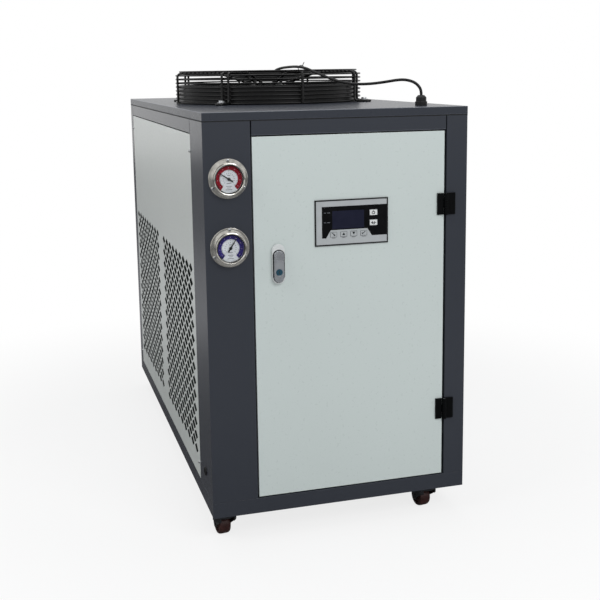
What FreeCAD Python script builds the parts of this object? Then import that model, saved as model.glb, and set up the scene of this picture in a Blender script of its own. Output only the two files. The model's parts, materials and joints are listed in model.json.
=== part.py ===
"""Box-shaped air-cooled chiller on casters, in millimetres.

Origin on the floor under the middle of the whole unit, +Z up, +X to the right and the
front with its door facing -Y. Every size is named in SIZES, and the cells of the sheet
drive the pieces.
"""
import FreeCAD
import Part
import Sketcher
import math
import operator
import os
from types import SimpleNamespace

from FreeCAD import Placement, Rotation, Vector

# Driving sizes
SIZES = {
    # Cabinet
    "cabinet_width": 606.0,
    "cabinet_depth": 1228.0,
    "cabinet_height": 900.0,
    "sheet": 2.0,
    "base_height": 35.5,
    "base_flange": 92.0,
    "pan_inset": 80.0,
    "lid_height": 18.0,
    "lid_seam": 1.0,
    "rail_height": 32.5,
    "rail_gap": 2.5,
    "rail_flange": 20.0,
    "column_width": 103.5,
    "column_depth": 146.0,
    "post_width": 50.0,
    "seat_width": 20.0,
    "panel_gap": 2.0,
    "panel_screw_inset": 8.0,
    "panel_screw_level": 38.0,
    # Perforated side panel
    "mesh_columns": 9,
    "mesh_rows": 14,
    "mesh_edge": 20.0,
    "mesh_strip": 70.0,
    "mesh_bottom": 85.0,
    "mesh_height": 463.0,
    "mesh_web": 5.0,
    "mesh_row_web": 10.0,
    # Door
    "door_thickness": 20.0,
    "door_gap": 3.0,
    "hinge_side_gap": 5.5,
    "door_stop_gap": 1.0,
    "liner_back_gap": 2.0,
    # Door hinges
    "hinge_height": 49.0,
    "hinge_leaf": 4.0,
    "hinge_leaf_reach": 23.2,
    "door_leaf_reach": 20.3,
    "knuckle_radius": 5.0,
    "hinge_pin_radius": 2.5,
    "upper_hinge_height": 682.0,
    "lower_hinge_height": 199.0,
    "hinge_clearance": 0.4,
    # Lock
    "lock_side": 52.5,
    "lock_height": 570.0,
    "lock_width": 28.0,
    "lock_length": 88.0,
    "lock_proud": 8.0,
    "handle_width": 22.7,
    "handle_length": 70.0,
    "handle_thickness": 3.5,
    "handle_drop": 14.0,
    "spindle_radius": 5.0,
    "spindle_head_radius": 9.0,
    "spindle_drop": 12.0,
    "lock_boss_radius": 9.5,
    "cam_width": 16.0,
    "cam_length": 48.0,
    "cam_thickness": 3.0,
    "plug_radius": 7.25,
    "plug_drop": 47.6,
    "plug_proud": 0.6,
    "key_slot_width": 1.4,
    "key_slot_length": 8.0,
    # Controller
    "controller_width": 170.5,
    "controller_height": 102.0,
    "controller_proud": 3.0,
    "controller_border": 3.0,
    "controller_side": 137.0,
    "controller_level": 602.0,
    "controller_case_inset": 6.0,
    "controller_case_depth": 58.0,
    "overlay_thickness": 1.2,
    "overlay_recess": 0.6,
    "display_width": 75.0,
    "display_height": 41.0,
    "display_side": 39.5,
    "display_level": 36.5,
    "key_proud": 0.5,
    "side_key_side": 127.0,
    "side_key_level": 41.0,
    "side_key_pitch": 22.6,
    "side_key_width": 18.0,
    "side_key_height": 12.4,
    "low_key_side": 35.0,
    "low_key_level": 19.0,
    "low_key_pitch": 23.4,
    "low_key_width": 15.4,
    "low_key_height": 11.5,
    # Pressure gauges
    "gauge_flange_radius": 43.0,
    "gauge_flange": 2.0,
    "gauge_bezel_radius": 35.0,
    "gauge_proud": 18.0,
    "gauge_window_radius": 28.5,
    "gauge_body_radius": 31.0,
    "gauge_body_depth": 28.0,
    "gauge_stem_radius": 7.0,
    "gauge_stem_length": 22.0,
    "gauge_lip": 2.0,
    "glass_thickness": 2.0,
    "dial_thickness": 1.0,
    "dial_depth": 10.0,
    "pointer_thickness": 0.8,
    "pointer_reach": 24.0,
    "pointer_tail": 10.0,
    "pointer_hub_radius": 3.4,
    "pointer_pin_radius": 1.0,
    "red_gauge_height": 760.0,
    "blue_gauge_height": 612.0,
    "gauge_side": 53.0,
    "screw_circle_radius": 38.8,
    "screw_head_radius": 3.6,
    "screw_head": 2.4,
    "screw_radius": 2.0,
    "screw_length": 8.0,
    "screw_lead_in": 5.0,
    # Fan and guard
    "shroud_inner_radius": 233.0,
    "shroud_outer_radius": 243.0,
    "shroud_height": 48.0,
    "shroud_flange_radius": 247.0,
    "guard_radius": 257.0,
    "guard_height": 86.0,
    "guard_wire": 4.5,
    "guard_rings": 9,
    "guard_ring_pitch": 10.0,
    "guard_top_rings": 8,
    "guard_inner_ring": 74.0,
    "guard_dish_radius": 140.0,
    "guard_dish_drop": 4.0,
    "guard_hub_radius": 52.0,
    "guard_hub_hole": 42.0,
    "guard_hub_height": 46.0,
    "guard_corner": 8.0,
    "rib_pairs": 4,
    "rib_spacing": 18.0,
    "rib_turn": 5.4,
    "foot_length": 40.0,
    "bolt_head_radius": 7.5,
    "bolt_head": 6.0,
    "bolt_radius": 4.0,
    "bolt_length": 12.0,
    "washer_margin": 3.5,
    "washer": 1.5,
    "motor_plate": 4.0,
    "motor_cap_radius": 38.0,
    "motor_cap": 6.0,
    "motor_shaft_radius": 8.0,
    "fan_hub_radius": 55.0,
    "fan_hub_bottom": 10.0,
    "fan_hub_floor": 5.5,
    "shaft_gap": 0.5,
    "fan_blades": 5,
    "fan_tip_radius": 224.0,
    "blade_thickness": 3.0,
    "blade_root_chord": 62.0,
    "blade_tip_chord": 96.0,
    "blade_root_pitch": 24.0,
    "blade_tip_pitch": 14.0,
    # Fan lead and gland
    "lead_diameter": 6.6,
    "gland_radius": 14.0,
    "gland_height": 24.0,
    "gland_thread_radius": 9.0,
    "gland_thread": 10.0,
    "gland_flange": 9.6,
    "gland_nut_radius": 12.0,
    "gland_nut": 19.0,
    "gland_mouth_radius": 7.0,
    "gland_side": 76.0,
    "gland_back": 87.0,
    "grommet_radius": 11.0,
    "grommet_hole": 6.0,
    "grommet_proud": 3.0,
    "grommet_depth": 76.0,
    "grommet_height": 84.0,
    # Casters
    "caster_height": 62.0,
    "front_left_caster_side": 33.0,
    "caster_side": 81.0,
    "front_caster_inset": 40.0,
    "rear_caster_inset": 60.0,
    "caster_turn": 7.0,
    "caster_plate_size": 60.0,
    "caster_plate": 3.0,
    "caster_race_radius": 15.0,
    "caster_race": 3.5,
    "caster_pin_radius": 5.0,
    "caster_crown_radius": 27.0,
    "caster_crown": 3.5,
    "caster_skirt": 13.0,
    "caster_trail": 18.0,
    "wheel_radius": 25.0,
    "wheel_width": 28.0,
    "wheel_gap": 1.0,
    "wheel_shoulder": 3.0,
    "wheel_web_depth": 3.0,
    "wheel_rim_share": 0.68,
    "cheek": 2.5,
    "cheek_top_width": 38.0,
    "cheek_width": 22.0,
    "cheek_tip_width": 12.0,
    "axle_radius": 4.0,
    "axle_end": 1.5,
    "axle_margin": 5.0,
    "wheel_hub_wall": 4.0,
    # Inside the cabinet
    "coil_thickness": 44.0,
    "coil_side": 24.0,
    "coil_height": 640.0,
    "coil_end": 12.0,
    "coil_plate_height": 664.0,
    "compressor_radius": 80.0,
    "compressor_height": 380.0,
    "compressor_foot": 190.0,
    "compressor_foot_plate": 5.0,
    "compressor_foot_inset": 18.0,
    "compressor_foot_radius": 13.0,
    "compressor_lift": 4.0,
    "compressor_stand": 26.0,
    "compressor_side": 40.0,
    "compressor_back": 190.0,
    "compressor_gap": 23.0,
    "tank_width": 300.0,
    "tank_height": 420.0,
    "tank_cover": 12.0,
    "tank_cover_lap": 8.0,
    "tank_side": 20.0,
    "tank_gap": 70.0,
    "pump_radius": 62.0,
    "pump_length": 220.0,
    "pump_head_radius": 75.0,
    "pump_head_length": 70.0,
    "pump_axis_height": 90.0,
    "pump_front": 200.0,
    "pump_side": 60.0,
    "pump_foot_width": 100.0,
    "pump_foot_start": 20.0,
    "pump_foot_length": 160.0,
    "pump_box_width": 80.0,
    "pump_box_start": 60.0,
    "pump_box_length": 90.0,
    "pump_box_height": 28.0,
    "board_width": 360.0,
    "board_gap": 52,
    "board_front": 100.0,
    "board_side": 30.0,
    "board_foot": 30.0,
    "device_depth": 38.0,
    "device_margin": 40.0,
    "device_gap": 10.0,
    "breaker_drop": 140.0,
    "breaker_height": 84.0,
    "breaker_width": 50.0,
    "contactor_drop": 290.0,
    "contactor_height": 78.0,
    "contactor_width": 48.0,
    "terminal_drop": 410.0,
    "terminal_height": 44.0,
    "terminal_width": 230.0,
    "coil_inlet_height": 560.0,
    "coil_outlet_height": 90.0,
    "drier_radius": 22.0,
    "drier_length": 110.0,
    "drier_height": 175.0,
    "drier_side": 40.0,
    "drier_back": 20.0,
    "line_rise": 50.0,
    "suction_height": 228.0,
    "tank_fitting": 45.0,
    "feed_gap": 45.0,
    "water_pipe_radius": 14.0,
    "gas_pipe_radius": 8.0,
    "port_radius": 19.0,
    "port_thread_radius": 15.1,
    "port_bore": 12.0,
    "port_reach": 30.0,
    "port_side": 107.0,
    "outlet_height": 260.0,
    "inlet_height": 520.0,
    # Fits
    "running_clearance": 0.05,
    "soft_clearance": 0.3,
}

doc = FreeCAD.newDocument("chiller")
NODES = []


class Size:
    """A number together with the formula that works it out from the sheet."""

    def __init__(self, number, formula):
        self.number = number
        self.formula = formula

    def __add__(self, other):
        return combine(self, "+", other)

    def __radd__(self, other):
        return combine(other, "+", self)

    def __sub__(self, other):
        return combine(self, "-", other)

    def __rsub__(self, other):
        return combine(other, "-", self)

    def __mul__(self, other):
        return combine(self, "*", other)

    def __rmul__(self, other):
        return combine(other, "*", self)

    def __truediv__(self, other):
        return combine(self, "/", other)

    def __neg__(self):
        return combine(0.0, "-", self)


SIGNS = {"+": operator.add, "-": operator.sub, "*": operator.mul, "/": operator.truediv}


def number(value):
    return value.number if isinstance(value, Size) else float(value)


def formula(value):
    return value.formula if isinstance(value, Size) else repr(float(value))


def combine(first, sign, second):
    result = SIGNS[sign](number(first), number(second))
    return Size(result, f"({formula(first)} {sign} {formula(second)})")


def write_sheet():
    """The sheet of driving sizes, one row each: its word, its number."""
    sheet = doc.addObject("Spreadsheet::Sheet", "Sizes")
    for row, (word, value) in enumerate(SIZES.items(), start=1):
        sheet.set(f"A{row}", word)
        sheet.set(f"B{row}", str(value))
        sheet.setAlias(f"B{row}", word)
    doc.recompute()
    return SimpleNamespace(**{word: Size(value, f"Sizes.{word}") for word, value in SIZES.items()})


size = write_sheet()

# Places that several pieces share, all from the driving sizes
left = -size.cabinet_width / 2
right = size.cabinet_width / 2
front = -(size.cabinet_depth + size.port_reach - size.gauge_proud) / 2
back = front + size.cabinet_depth
base_bottom = size.caster_height
base_top = base_bottom + size.base_height
lid_top = base_bottom + size.cabinet_height
post_top = lid_top - size.lid_height
rail_top = post_top - size.lid_seam
rail_bottom = post_top - size.rail_height
panel_bottom = base_top + size.panel_gap
panel_top = rail_bottom - size.panel_gap
panel_thickness = size.sheet
door_step = size.door_thickness + size.door_stop_gap
door_left = left + size.column_width + size.door_gap
door_right = right - size.post_width - size.hinge_side_gap
door_bottom = base_top + size.door_gap
door_top = rail_bottom - size.door_gap
door_back = front + size.door_thickness
fan_y = front + size.cabinet_depth / 2
gauge_x = left + size.gauge_side
hinge_x = right - size.post_width - size.hinge_side_gap / 2
hinge_y = front - size.knuckle_radius - size.hinge_clearance
hinge_levels = {
    "upper": base_bottom + size.upper_hinge_height,
    "lower": base_bottom + size.lower_hinge_height,
}
lock_x = door_left + size.lock_side
lock_z = base_bottom + size.lock_height
lock_front = front - size.lock_proud
handle_top = lock_z + size.lock_length / 2 - size.handle_drop
spindle_z = handle_top - size.spindle_drop
handle_back = lock_front - size.soft_clearance
handle_front = handle_back - size.handle_thickness
plug_z = handle_top - size.plug_drop
controller_left = door_left + size.controller_side
controller_bottom = base_bottom + size.controller_level
pan_top = base_top + size.sheet
tank_left = size.tank_side - size.tank_width / 2
tank_top = pan_top + size.tank_height + size.tank_cover
compressor_x = size.compressor_side
compressor_y = back - size.compressor_back
compressor_bottom = pan_top + size.compressor_stand
tank_back = compressor_y - size.compressor_foot / 2 - size.compressor_gap
coil_left = left + size.coil_side
coil_front = front + size.column_depth + size.seat_width + size.coil_end
coil_back = back - size.post_width - size.seat_width - size.coil_end
port_x = right - size.port_side
outlet_z = base_bottom + size.outlet_height
inlet_z = base_bottom + size.inlet_height
pump_x = size.pump_side
pump_z = base_bottom + size.pump_axis_height + size.base_height
pump_head_front = front + size.pump_front
pump_front = pump_head_front + size.pump_head_length
pump_back = pump_front + size.pump_length
tank_front = pump_back + size.tank_gap
board_top = rail_bottom - size.board_gap

ALONG_X = Rotation(Vector(0, 1, 0), 90)
ALONG_Y = Rotation(Vector(1, 0, 0), -90)
TOWARDS_FRONT = Rotation(Vector(1, 0, 0), 90)
TOWARDS_LEFT = Rotation(Vector(0, 1, 0), -90)
UPRIGHT = Rotation()
SIDE_ON = Rotation(Vector(0, 1, 0), Vector(0, 0, 1), Vector(1, 0, 0), "XYZ")


# Small builders, each binding what it makes to the sheet

def bind(item, **values):
    for name, value in values.items():
        setattr(item, name, number(value))
        if isinstance(value, Size):
            item.setExpression(name, value.formula)


def put(item, place, turn=UPRIGHT):
    """Stands an item at a place, with the place bound to the sheet."""
    item.Placement = Placement(Vector(*[number(value) for value in place]), turn)
    for axis, value in zip("xyz", place):
        item.setExpression(f"Placement.Base.{axis}", formula(value))
    return item


def vector(x, y, z):
    return Vector(number(x), number(y), number(z))


def box(low, high):
    item = doc.addObject("Part::Box", "Box")
    bind(item, Length=high[0] - low[0], Width=high[1] - low[1], Height=high[2] - low[2])
    return put(item, low)


def cylinder(foot, radius, length, turn=UPRIGHT):
    item = doc.addObject("Part::Cylinder", "Cylinder")
    bind(item, Radius=radius, Height=length)
    return put(item, foot, turn)


def fuse(*pieces):
    item = doc.addObject("Part::MultiFuse", "Fuse")
    item.Shapes = list(pieces)
    item.Refine = True
    return item


def cut(base, *tools):
    item = doc.addObject("Part::Cut", "Cut")
    item.Base = base
    item.Tool = tools[0] if len(tools) == 1 else fuse(*tools)
    item.Refine = True
    return item


def node(item, label):
    item.Label = label
    NODES.append(item)
    return item


def plain_node(shape, label, place=None):
    """A sub-part whose shape is worked out in code."""
    item = doc.addObject("Part::Feature", "Feature")
    item.Shape = shape
    if place is not None:
        item.Placement = place
    return node(item, label)


def group(items, label):
    """Like pieces, such as a set of screws, kept as separate solids of one node."""
    item = doc.addObject("Part::Compound", "Compound")
    item.Links = list(items)
    return node(item, label)


def outline(body, plane, points):
    """A closed sketch on one of the body's own planes, with every corner bound."""
    sketch = body.newObject("Sketcher::SketchObject", "Sketch")
    support = next(feature for feature in body.Origin.OriginFeatures if feature.Role == plane)
    sketch.AttachmentSupport = [(support, "")]
    sketch.MapMode = "FlatFace"
    corners = [Vector(number(x), number(y), 0) for x, y in points]
    for index, corner in enumerate(corners):
        following = corners[(index + 1) % len(corners)]
        sketch.addGeometry(Part.LineSegment(corner, following), False)
    for index in range(len(corners)):
        following = (index + 1) % len(corners)
        sketch.addConstraint(Sketcher.Constraint("Coincident", index, 2, following, 1))
    for index, point in enumerate(points):
        for kind, value in zip(("DistanceX", "DistanceY"), point):
            constraint = Sketcher.Constraint(kind, -1, 1, index, 1, number(value))
            place = sketch.addConstraint(constraint)
            if isinstance(value, Size):
                sketch.setExpression(f"Constraints[{place}]", value.formula)
    return sketch


def padded(points, length, place, turn=UPRIGHT):
    """A body: a sketched section padded along its own Z."""
    body = doc.addObject("PartDesign::Body", "Body")
    pad = body.newObject("PartDesign::Pad", "Pad")
    pad.Profile = outline(body, "XY_Plane", points)
    bind(pad, Length=length)
    body.Tip = pad
    return put(body, place, turn)


def turned(points, place, turn=UPRIGHT):
    """A body: a sketched half section, radius and height, revolved about its own Z."""
    body = doc.addObject("PartDesign::Body", "Body")
    sketch = outline(body, "XZ_Plane", points)
    revolution = body.newObject("PartDesign::Revolution", "Revolution")
    revolution.Profile = sketch
    revolution.ReferenceAxis = (sketch, ["V_Axis"])
    revolution.Angle = 360
    body.Tip = revolution
    return put(body, place, turn)


# Frame and covers

def corner_post(label, place, turn, leg_u, step_u, leg_v, step_v):
    """A folded corner post: two legs, each with a step in to a seat for its panel."""
    wall = size.sheet
    seat = size.seat_width
    points = [
        (0, 0),
        (leg_u, 0),
        (leg_u, step_u),
        (leg_u + seat, step_u),
        (leg_u + seat, step_u + wall),
        (leg_u - wall, step_u + wall),
        (leg_u - wall, wall),
        (wall, wall),
        (wall, leg_v - wall),
        (step_v + wall, leg_v - wall),
        (step_v + wall, leg_v + seat),
        (step_v, leg_v + seat),
        (step_v, leg_v),
        (0, leg_v),
    ]
    body = padded(points, post_top - base_top, place, Rotation(Vector(0, 0, 1), turn))
    body.Label = label + "_body"
    return body


def screw_places(side):
    """Where a side's panel is screwed to its seats: points on its face, and the way in."""
    inset = size.panel_screw_inset
    levels = (panel_bottom + size.panel_screw_level, panel_top - size.panel_screw_level)
    if side == "rear":
        ends = (left + size.post_width + inset, right - size.post_width - inset)
        return [((x, back, z), TOWARDS_FRONT) for x in ends for z in levels]
    first_post = size.column_depth if side == "left" else size.post_width
    face, inward = {"left": (left, ALONG_X), "right": (right, TOWARDS_LEFT)}[side]
    ends = (front + first_post + inset, back - size.post_width - inset)
    return [((face, y, z), inward) for y in ends for z in levels]


def all_panel_screws():
    return [place for side in ("left", "right", "rear") for place in screw_places(side)]


def gauge_screw_places():
    """Three screws round each gauge, on the column's front face."""
    places = []
    for level in (size.red_gauge_height, size.blue_gauge_height):
        for angle in (90, 210, 330):
            x = gauge_x + size.screw_circle_radius * math.cos(math.radians(angle))
            z = base_bottom + level + size.screw_circle_radius * math.sin(math.radians(angle))
            places.append(((x, front, z), ALONG_Y))
    return places


def drills(places):
    """Clearance holes for a set of screws."""
    radius = size.screw_radius + size.running_clearance
    holes = []
    for place, turn in places:
        axis = turn.multVec(Vector(0, 0, 1))
        foot = [value - size.screw_lead_in * part for value, part in zip(place, axis)]
        holes.append(cylinder(foot, radius, size.screw_length + 2 * size.screw_lead_in, turn))
    return holes


def frame():
    base = cut(
        box((left, front, base_bottom), (right, back, base_top)),
        box(
            (left + size.sheet, front + size.sheet, base_bottom + size.sheet),
            (right - size.sheet, back - size.sheet, base_top - size.sheet),
        ),
        box(
            (left + size.base_flange, front + size.base_flange, base_bottom - size.sheet),
            (right - size.base_flange, back - size.base_flange, base_top + size.sheet),
        ),
    )
    node(base, "base_frame")
    pan = box(
        (left + size.pan_inset, front + size.pan_inset, base_top),
        (right - size.pan_inset, back - size.pan_inset, pan_top),
    )
    node(pan, "floor_pan")

    column = corner_post(
        "front_left_column", (left, front, base_top), 0,
        size.column_width, door_step, size.column_depth, panel_thickness,
    )
    openings = [
        cylinder(
            (gauge_x, front - size.sheet, base_bottom + level),
            size.gauge_body_radius + size.soft_clearance, 3 * size.sheet, ALONG_Y,
        )
        for level in (size.red_gauge_height, size.blue_gauge_height)
    ]
    openings.append(cylinder(
        (left - size.sheet, front + size.grommet_depth, base_bottom + size.grommet_height),
        size.grommet_radius - size.grommet_proud, 3 * size.sheet, ALONG_X,
    ))
    node(
        cut(column, *openings, *drills(gauge_screw_places() + screw_places("left"))),
        "front_left_column",
    )

    posts = {
        "front_right_post": ((right, front, base_top), 90, panel_thickness, door_step),
        "rear_right_post": ((right, back, base_top), 180, panel_thickness, panel_thickness),
        "rear_left_post": ((left, back, base_top), 270, panel_thickness, panel_thickness),
    }
    for label, (place, turn, step_u, step_v) in posts.items():
        post = corner_post(label, place, turn, size.post_width, step_u, size.post_width, step_v)
        node(cut(post, *drills(all_panel_screws())), label)


def top_rails():
    """A folded channel over the door and an angle along each of the other sides."""
    low = left + size.column_width + size.rail_gap
    high = right - size.post_width - size.rail_gap
    channel = fuse(
        box((low, front, rail_bottom), (high, front + size.sheet, rail_top)),
        box((low, front, rail_bottom), (high, front + door_step, rail_bottom + size.sheet)),
        box((low, front, rail_top - size.sheet), (high, front + door_step, rail_top)),
    )
    node(channel, "front_top_rail")
    seat_end = size.seat_width + size.rail_gap
    for label, outer, inward, begin, end in (
        ("left_top_rail", left, 1, front + size.column_depth, back - size.post_width),
        ("right_top_rail", right, -1, front + size.post_width, back - size.post_width),
    ):
        inner = outer + inward * size.sheet
        flange = outer + inward * size.rail_flange
        web = sorted((outer, inner), key=number)
        shelf = sorted((outer, flange), key=number)
        rail = fuse(
            box((web[0], begin + size.rail_gap, rail_bottom), (web[1], end - size.rail_gap, rail_top)),
            box((shelf[0], begin + seat_end, rail_top - size.sheet), (shelf[1], end - seat_end, rail_top)),
        )
        node(rail, label)
    begin = left + size.post_width
    end = right - size.post_width
    rail = fuse(
        box(
            (begin + size.rail_gap, back - size.sheet, rail_bottom),
            (end - size.rail_gap, back, rail_top),
        ),
        box(
            (begin + seat_end, back - size.rail_flange, rail_top - size.sheet),
            (end - seat_end, back, rail_top),
        ),
    )
    node(rail, "rear_top_rail")


def lid():
    """A tray turned upside down, with the fan's hole and the gland's hole."""
    tray = cut(
        box((left, front, post_top), (right, back, lid_top)),
        box(
            (left + size.sheet, front + size.sheet, post_top - size.sheet),
            (right - size.sheet, back - size.sheet, lid_top - size.sheet),
        ),
        cylinder((0, fan_y, post_top), size.shroud_inner_radius, 2 * size.lid_height),
        cylinder(
            (right - size.gland_side, front + size.gland_back, post_top),
            size.gland_thread_radius + size.running_clearance, 2 * size.lid_height,
        ),
        *foot_bolt_holes(),
    )
    node(tray, "lid")


def mesh_panel():
    """The left panel: two blocks of diamond holes in staggered rows."""
    width = number(size.cabinet_depth - size.column_depth - size.post_width - 2 * size.panel_gap)
    height = number(panel_top - panel_bottom)
    sheet_face = [Vector(0, 0), Vector(width, 0), Vector(width, height), Vector(0, height)]
    columns = int(number(size.mesh_columns))
    rows = int(number(size.mesh_rows))
    web = number(size.mesh_web)
    row_web = number(size.mesh_row_web)
    strip = number(size.mesh_strip)
    block = (width - strip) / 2 - number(size.mesh_edge)
    hole_width = (block - (columns - 1) * web) / columns
    hole_height = (number(size.mesh_height) - (rows - 1) * row_web) / rows
    pitch = hole_width + web
    row_pitch = hole_height + row_web
    first = number(size.mesh_edge) + hole_width / 2
    lowest = number(base_bottom + size.mesh_bottom - panel_bottom) + hole_height / 2
    wires = [Part.makePolygon(sheet_face + sheet_face[:1])]
    for start in (first, first + block + strip):
        for half_row in range(2 * rows - 1):
            stagger = half_row % 2
            for column in range(columns - stagger):
                centre = Vector(
                    start + (column + stagger / 2) * pitch,
                    lowest + half_row * row_pitch / 2,
                )
                tips = [
                    centre + Vector(-hole_width / 2, 0),
                    centre + Vector(0, hole_height / 2),
                    centre + Vector(hole_width / 2, 0),
                    centre + Vector(0, -hole_height / 2),
                ]
                wires.append(Part.makePolygon(tips + tips[:1]))
    hole_radius = number(size.screw_radius + size.running_clearance)
    for (_, y, z), _ in screw_places("left"):
        centre = Vector(
            number(y - front - size.column_depth - size.panel_gap),
            number(z - panel_bottom),
        )
        wires.append(Part.Wire(Part.makeCircle(hole_radius, centre, Vector(0, 0, -1))))
    sheet = Part.Face(wires).extrude(Vector(0, 0, number(panel_thickness)))
    corner = vector(left, front + size.column_depth + size.panel_gap, panel_bottom)
    sheet = sheet.transformed(Placement(corner, SIDE_ON).toMatrix(), True)
    plain_node(sheet, "left_panel")


def plain_panels():
    right_panel = box(
        (right - panel_thickness, front + size.post_width + size.panel_gap, panel_bottom),
        (right, back - size.post_width - size.panel_gap, panel_top),
    )
    node(cut(right_panel, *drills(screw_places("right"))), "right_panel")
    rear_panel = box(
        (left + size.post_width + size.panel_gap, back - panel_thickness, panel_bottom),
        (right - size.post_width - size.panel_gap, back, panel_top),
    )
    port_holes = [
        cylinder(
            (port_x, back - 2 * size.sheet, z),
            size.port_radius + size.soft_clearance, 4 * size.sheet, ALONG_Y,
        )
        for z in (outlet_z, inlet_z)
    ]
    node(cut(rear_panel, *port_holes, *drills(screw_places("rear"))), "rear_panel")


def screw(place, turn):
    """A round-headed screw, its head on the outer face."""
    points = [
        (0, -size.screw_head),
        (size.screw_head_radius * 0.7, -size.screw_head),
        (size.screw_head_radius, -size.screw_head * 0.4),
        (size.screw_head_radius, 0),
        (size.screw_radius, 0),
        (size.screw_radius, size.screw_length),
        (0, size.screw_length),
    ]
    return turned(points, place, turn)


def screws():
    """The panels' screws and the gauges' screws, all alike."""
    places = all_panel_screws()
    for (x, y, z), turn in gauge_screw_places():
        places.append(((x, y - size.gauge_flange, z), turn))
    group([screw(place, turn) for place, turn in places], "cover_screws")


def power_grommet():
    """The rubber inlet for a supply cord, low on the column's left face."""
    inner = size.grommet_radius - size.grommet_proud
    points = [
        (size.grommet_hole, -size.grommet_proud),
        (size.grommet_radius - 1.5, -size.grommet_proud),
        (size.grommet_radius, 0),
        (inner, 0),
        (inner, size.sheet),
        (size.grommet_radius, size.sheet),
        (size.grommet_radius, size.sheet + size.grommet_proud),
        (size.grommet_hole, size.sheet + size.grommet_proud),
    ]
    place = (left, front + size.grommet_depth, base_bottom + size.grommet_height)
    node(turned(points, place, ALONG_X), "power_grommet")


# Door and what it carries

def door():
    skin = cut(
        box((door_left, front, door_bottom), (door_right, door_back, door_top)),
        box(
            (door_left + size.sheet, front + size.sheet, door_bottom + size.sheet),
            (door_right - size.sheet, door_back + size.sheet, door_top - size.sheet),
        ),
        controller_hole(0),
        cylinder(
            (lock_x, front - size.sheet, spindle_z),
            size.lock_boss_radius + size.running_clearance, 3 * size.sheet, ALONG_Y,
        ),
    )
    node(skin, "door_skin")
    clear = size.soft_clearance
    liner = cut(
        box(
            (door_left + size.sheet + clear, front + size.sheet, door_bottom + size.sheet + clear),
            (
                door_right - size.sheet - clear,
                door_back - size.liner_back_gap,
                door_top - size.sheet - clear,
            ),
        ),
        controller_hole(clear),
        cylinder(
            (lock_x, front, spindle_z),
            size.lock_boss_radius + clear, 2 * size.door_thickness, ALONG_Y,
        ),
    )
    node(liner, "door_liner")


def controller_hole(clear):
    inset = size.controller_case_inset - size.running_clearance - clear
    low = (controller_left + inset, front - size.sheet, controller_bottom + inset)
    high = (
        controller_left + size.controller_width - inset,
        door_back + size.sheet,
        controller_bottom + size.controller_height - inset,
    )
    return box(low, high)


def controller():
    """Black case with a bezel, a membrane overlay with its keys, and a display window."""
    x0 = controller_left
    x1 = controller_left + size.controller_width
    z0 = controller_bottom
    z1 = controller_bottom + size.controller_height
    inset = size.controller_case_inset
    border = size.controller_border
    face = front - size.controller_proud
    overlay_back = face + size.overlay_recess + size.overlay_thickness
    case = cut(
        fuse(
            box((x0, face, z0), (x1, front, z1)),
            box((x0 + inset, front, z0 + inset), (x1 - inset, front + size.controller_case_depth, z1 - inset)),
        ),
        box((x0 + border, face - 1, z0 + border), (x1 - border, overlay_back, z1 - border)),
    )
    node(case, "controller_case")

    display_x0 = x0 + size.display_side
    display_z0 = z0 + size.display_level
    window = (
        (display_x0, face + size.overlay_recess, display_z0),
        (display_x0 + size.display_width, overlay_back, display_z0 + size.display_height),
    )
    overlay_front = face + size.overlay_recess

    def key(x, z, width, height):
        return box((x, overlay_front - size.key_proud, z), (x + width, overlay_front, z + height))

    keys = []
    for row in range(2):
        level = z0 + size.side_key_level + row * size.side_key_pitch
        keys.append(key(x0 + size.side_key_side, level, size.side_key_width, size.side_key_height))
    for column in range(4):
        key_x = x0 + size.low_key_side + column * size.low_key_pitch
        keys.append(key(key_x, z0 + size.low_key_level, size.low_key_width, size.low_key_height))
    clear = size.running_clearance
    sheet_low = (x0 + border + clear, overlay_front, z0 + border + clear)
    sheet_high = (x1 - border - clear, overlay_back, z1 - border - clear)
    overlay = cut(fuse(box(sheet_low, sheet_high), *keys), box(*window))
    node(overlay, "controller_overlay")
    lens = box(
        (window[0][0] + clear, window[0][1], window[0][2] + clear),
        (window[1][0] - clear, window[1][1], window[1][2] - clear),
    )
    node(lens, "display_window")


def hinge_knuckle(z, length):
    return cylinder((hinge_x, hinge_y, z), size.knuckle_radius, length)


def hinges():
    """Two surface hinges: frame leaf with end knuckles, door leaf with the middle one."""
    third = size.hinge_height / 3
    gap = size.soft_clearance
    reach = size.knuckle_radius + size.hinge_clearance
    leaf_front = front - size.hinge_leaf
    frame_leaves = []
    door_leaves = []
    pins = []
    for level in hinge_levels.values():
        low = level - size.hinge_height / 2
        high = level + size.hinge_height / 2
        bore = cylinder(
            (hinge_x, hinge_y, low - 1),
            size.hinge_pin_radius + size.running_clearance, size.hinge_height + 2,
        )
        leaf = [box((hinge_x + reach, leaf_front, low), (hinge_x + size.hinge_leaf_reach, front, high))]
        for z in (low, high - third + gap):
            leaf.append(hinge_knuckle(z, third - gap))
            leaf.append(box(
                (hinge_x, leaf_front, z),
                (hinge_x + reach + 1, front - size.hinge_clearance, z + third - gap),
            ))
        frame_leaves.append(cut(fuse(*leaf), bore))
        door_leaf = fuse(
            box((hinge_x - size.door_leaf_reach, leaf_front, low), (hinge_x - reach, front, high)),
            hinge_knuckle(low + third, third),
            box(
                (hinge_x - reach - 1, leaf_front, low + third),
                (hinge_x, front - size.hinge_clearance, low + 2 * third),
            ),
        )
        door_leaves.append(cut(door_leaf, bore))
        pins.append(cylinder((hinge_x, hinge_y, low), size.hinge_pin_radius, size.hinge_height))
    group(frame_leaves, "frame_hinge_leaves")
    group(door_leaves, "door_hinge_leaves")
    group(pins, "hinge_pins")


def pill(x, y_front, y_back, z_low, z_high, width):
    """An upright plate with round ends."""
    radius = width / 2
    depth = y_back - y_front
    return fuse(
        box((x - radius, y_front, z_low + radius), (x + radius, y_back, z_high - radius)),
        cylinder((x, y_front, z_low + radius), radius, depth, ALONG_Y),
        cylinder((x, y_front, z_high - radius), radius, depth, ALONG_Y),
    )


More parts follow.
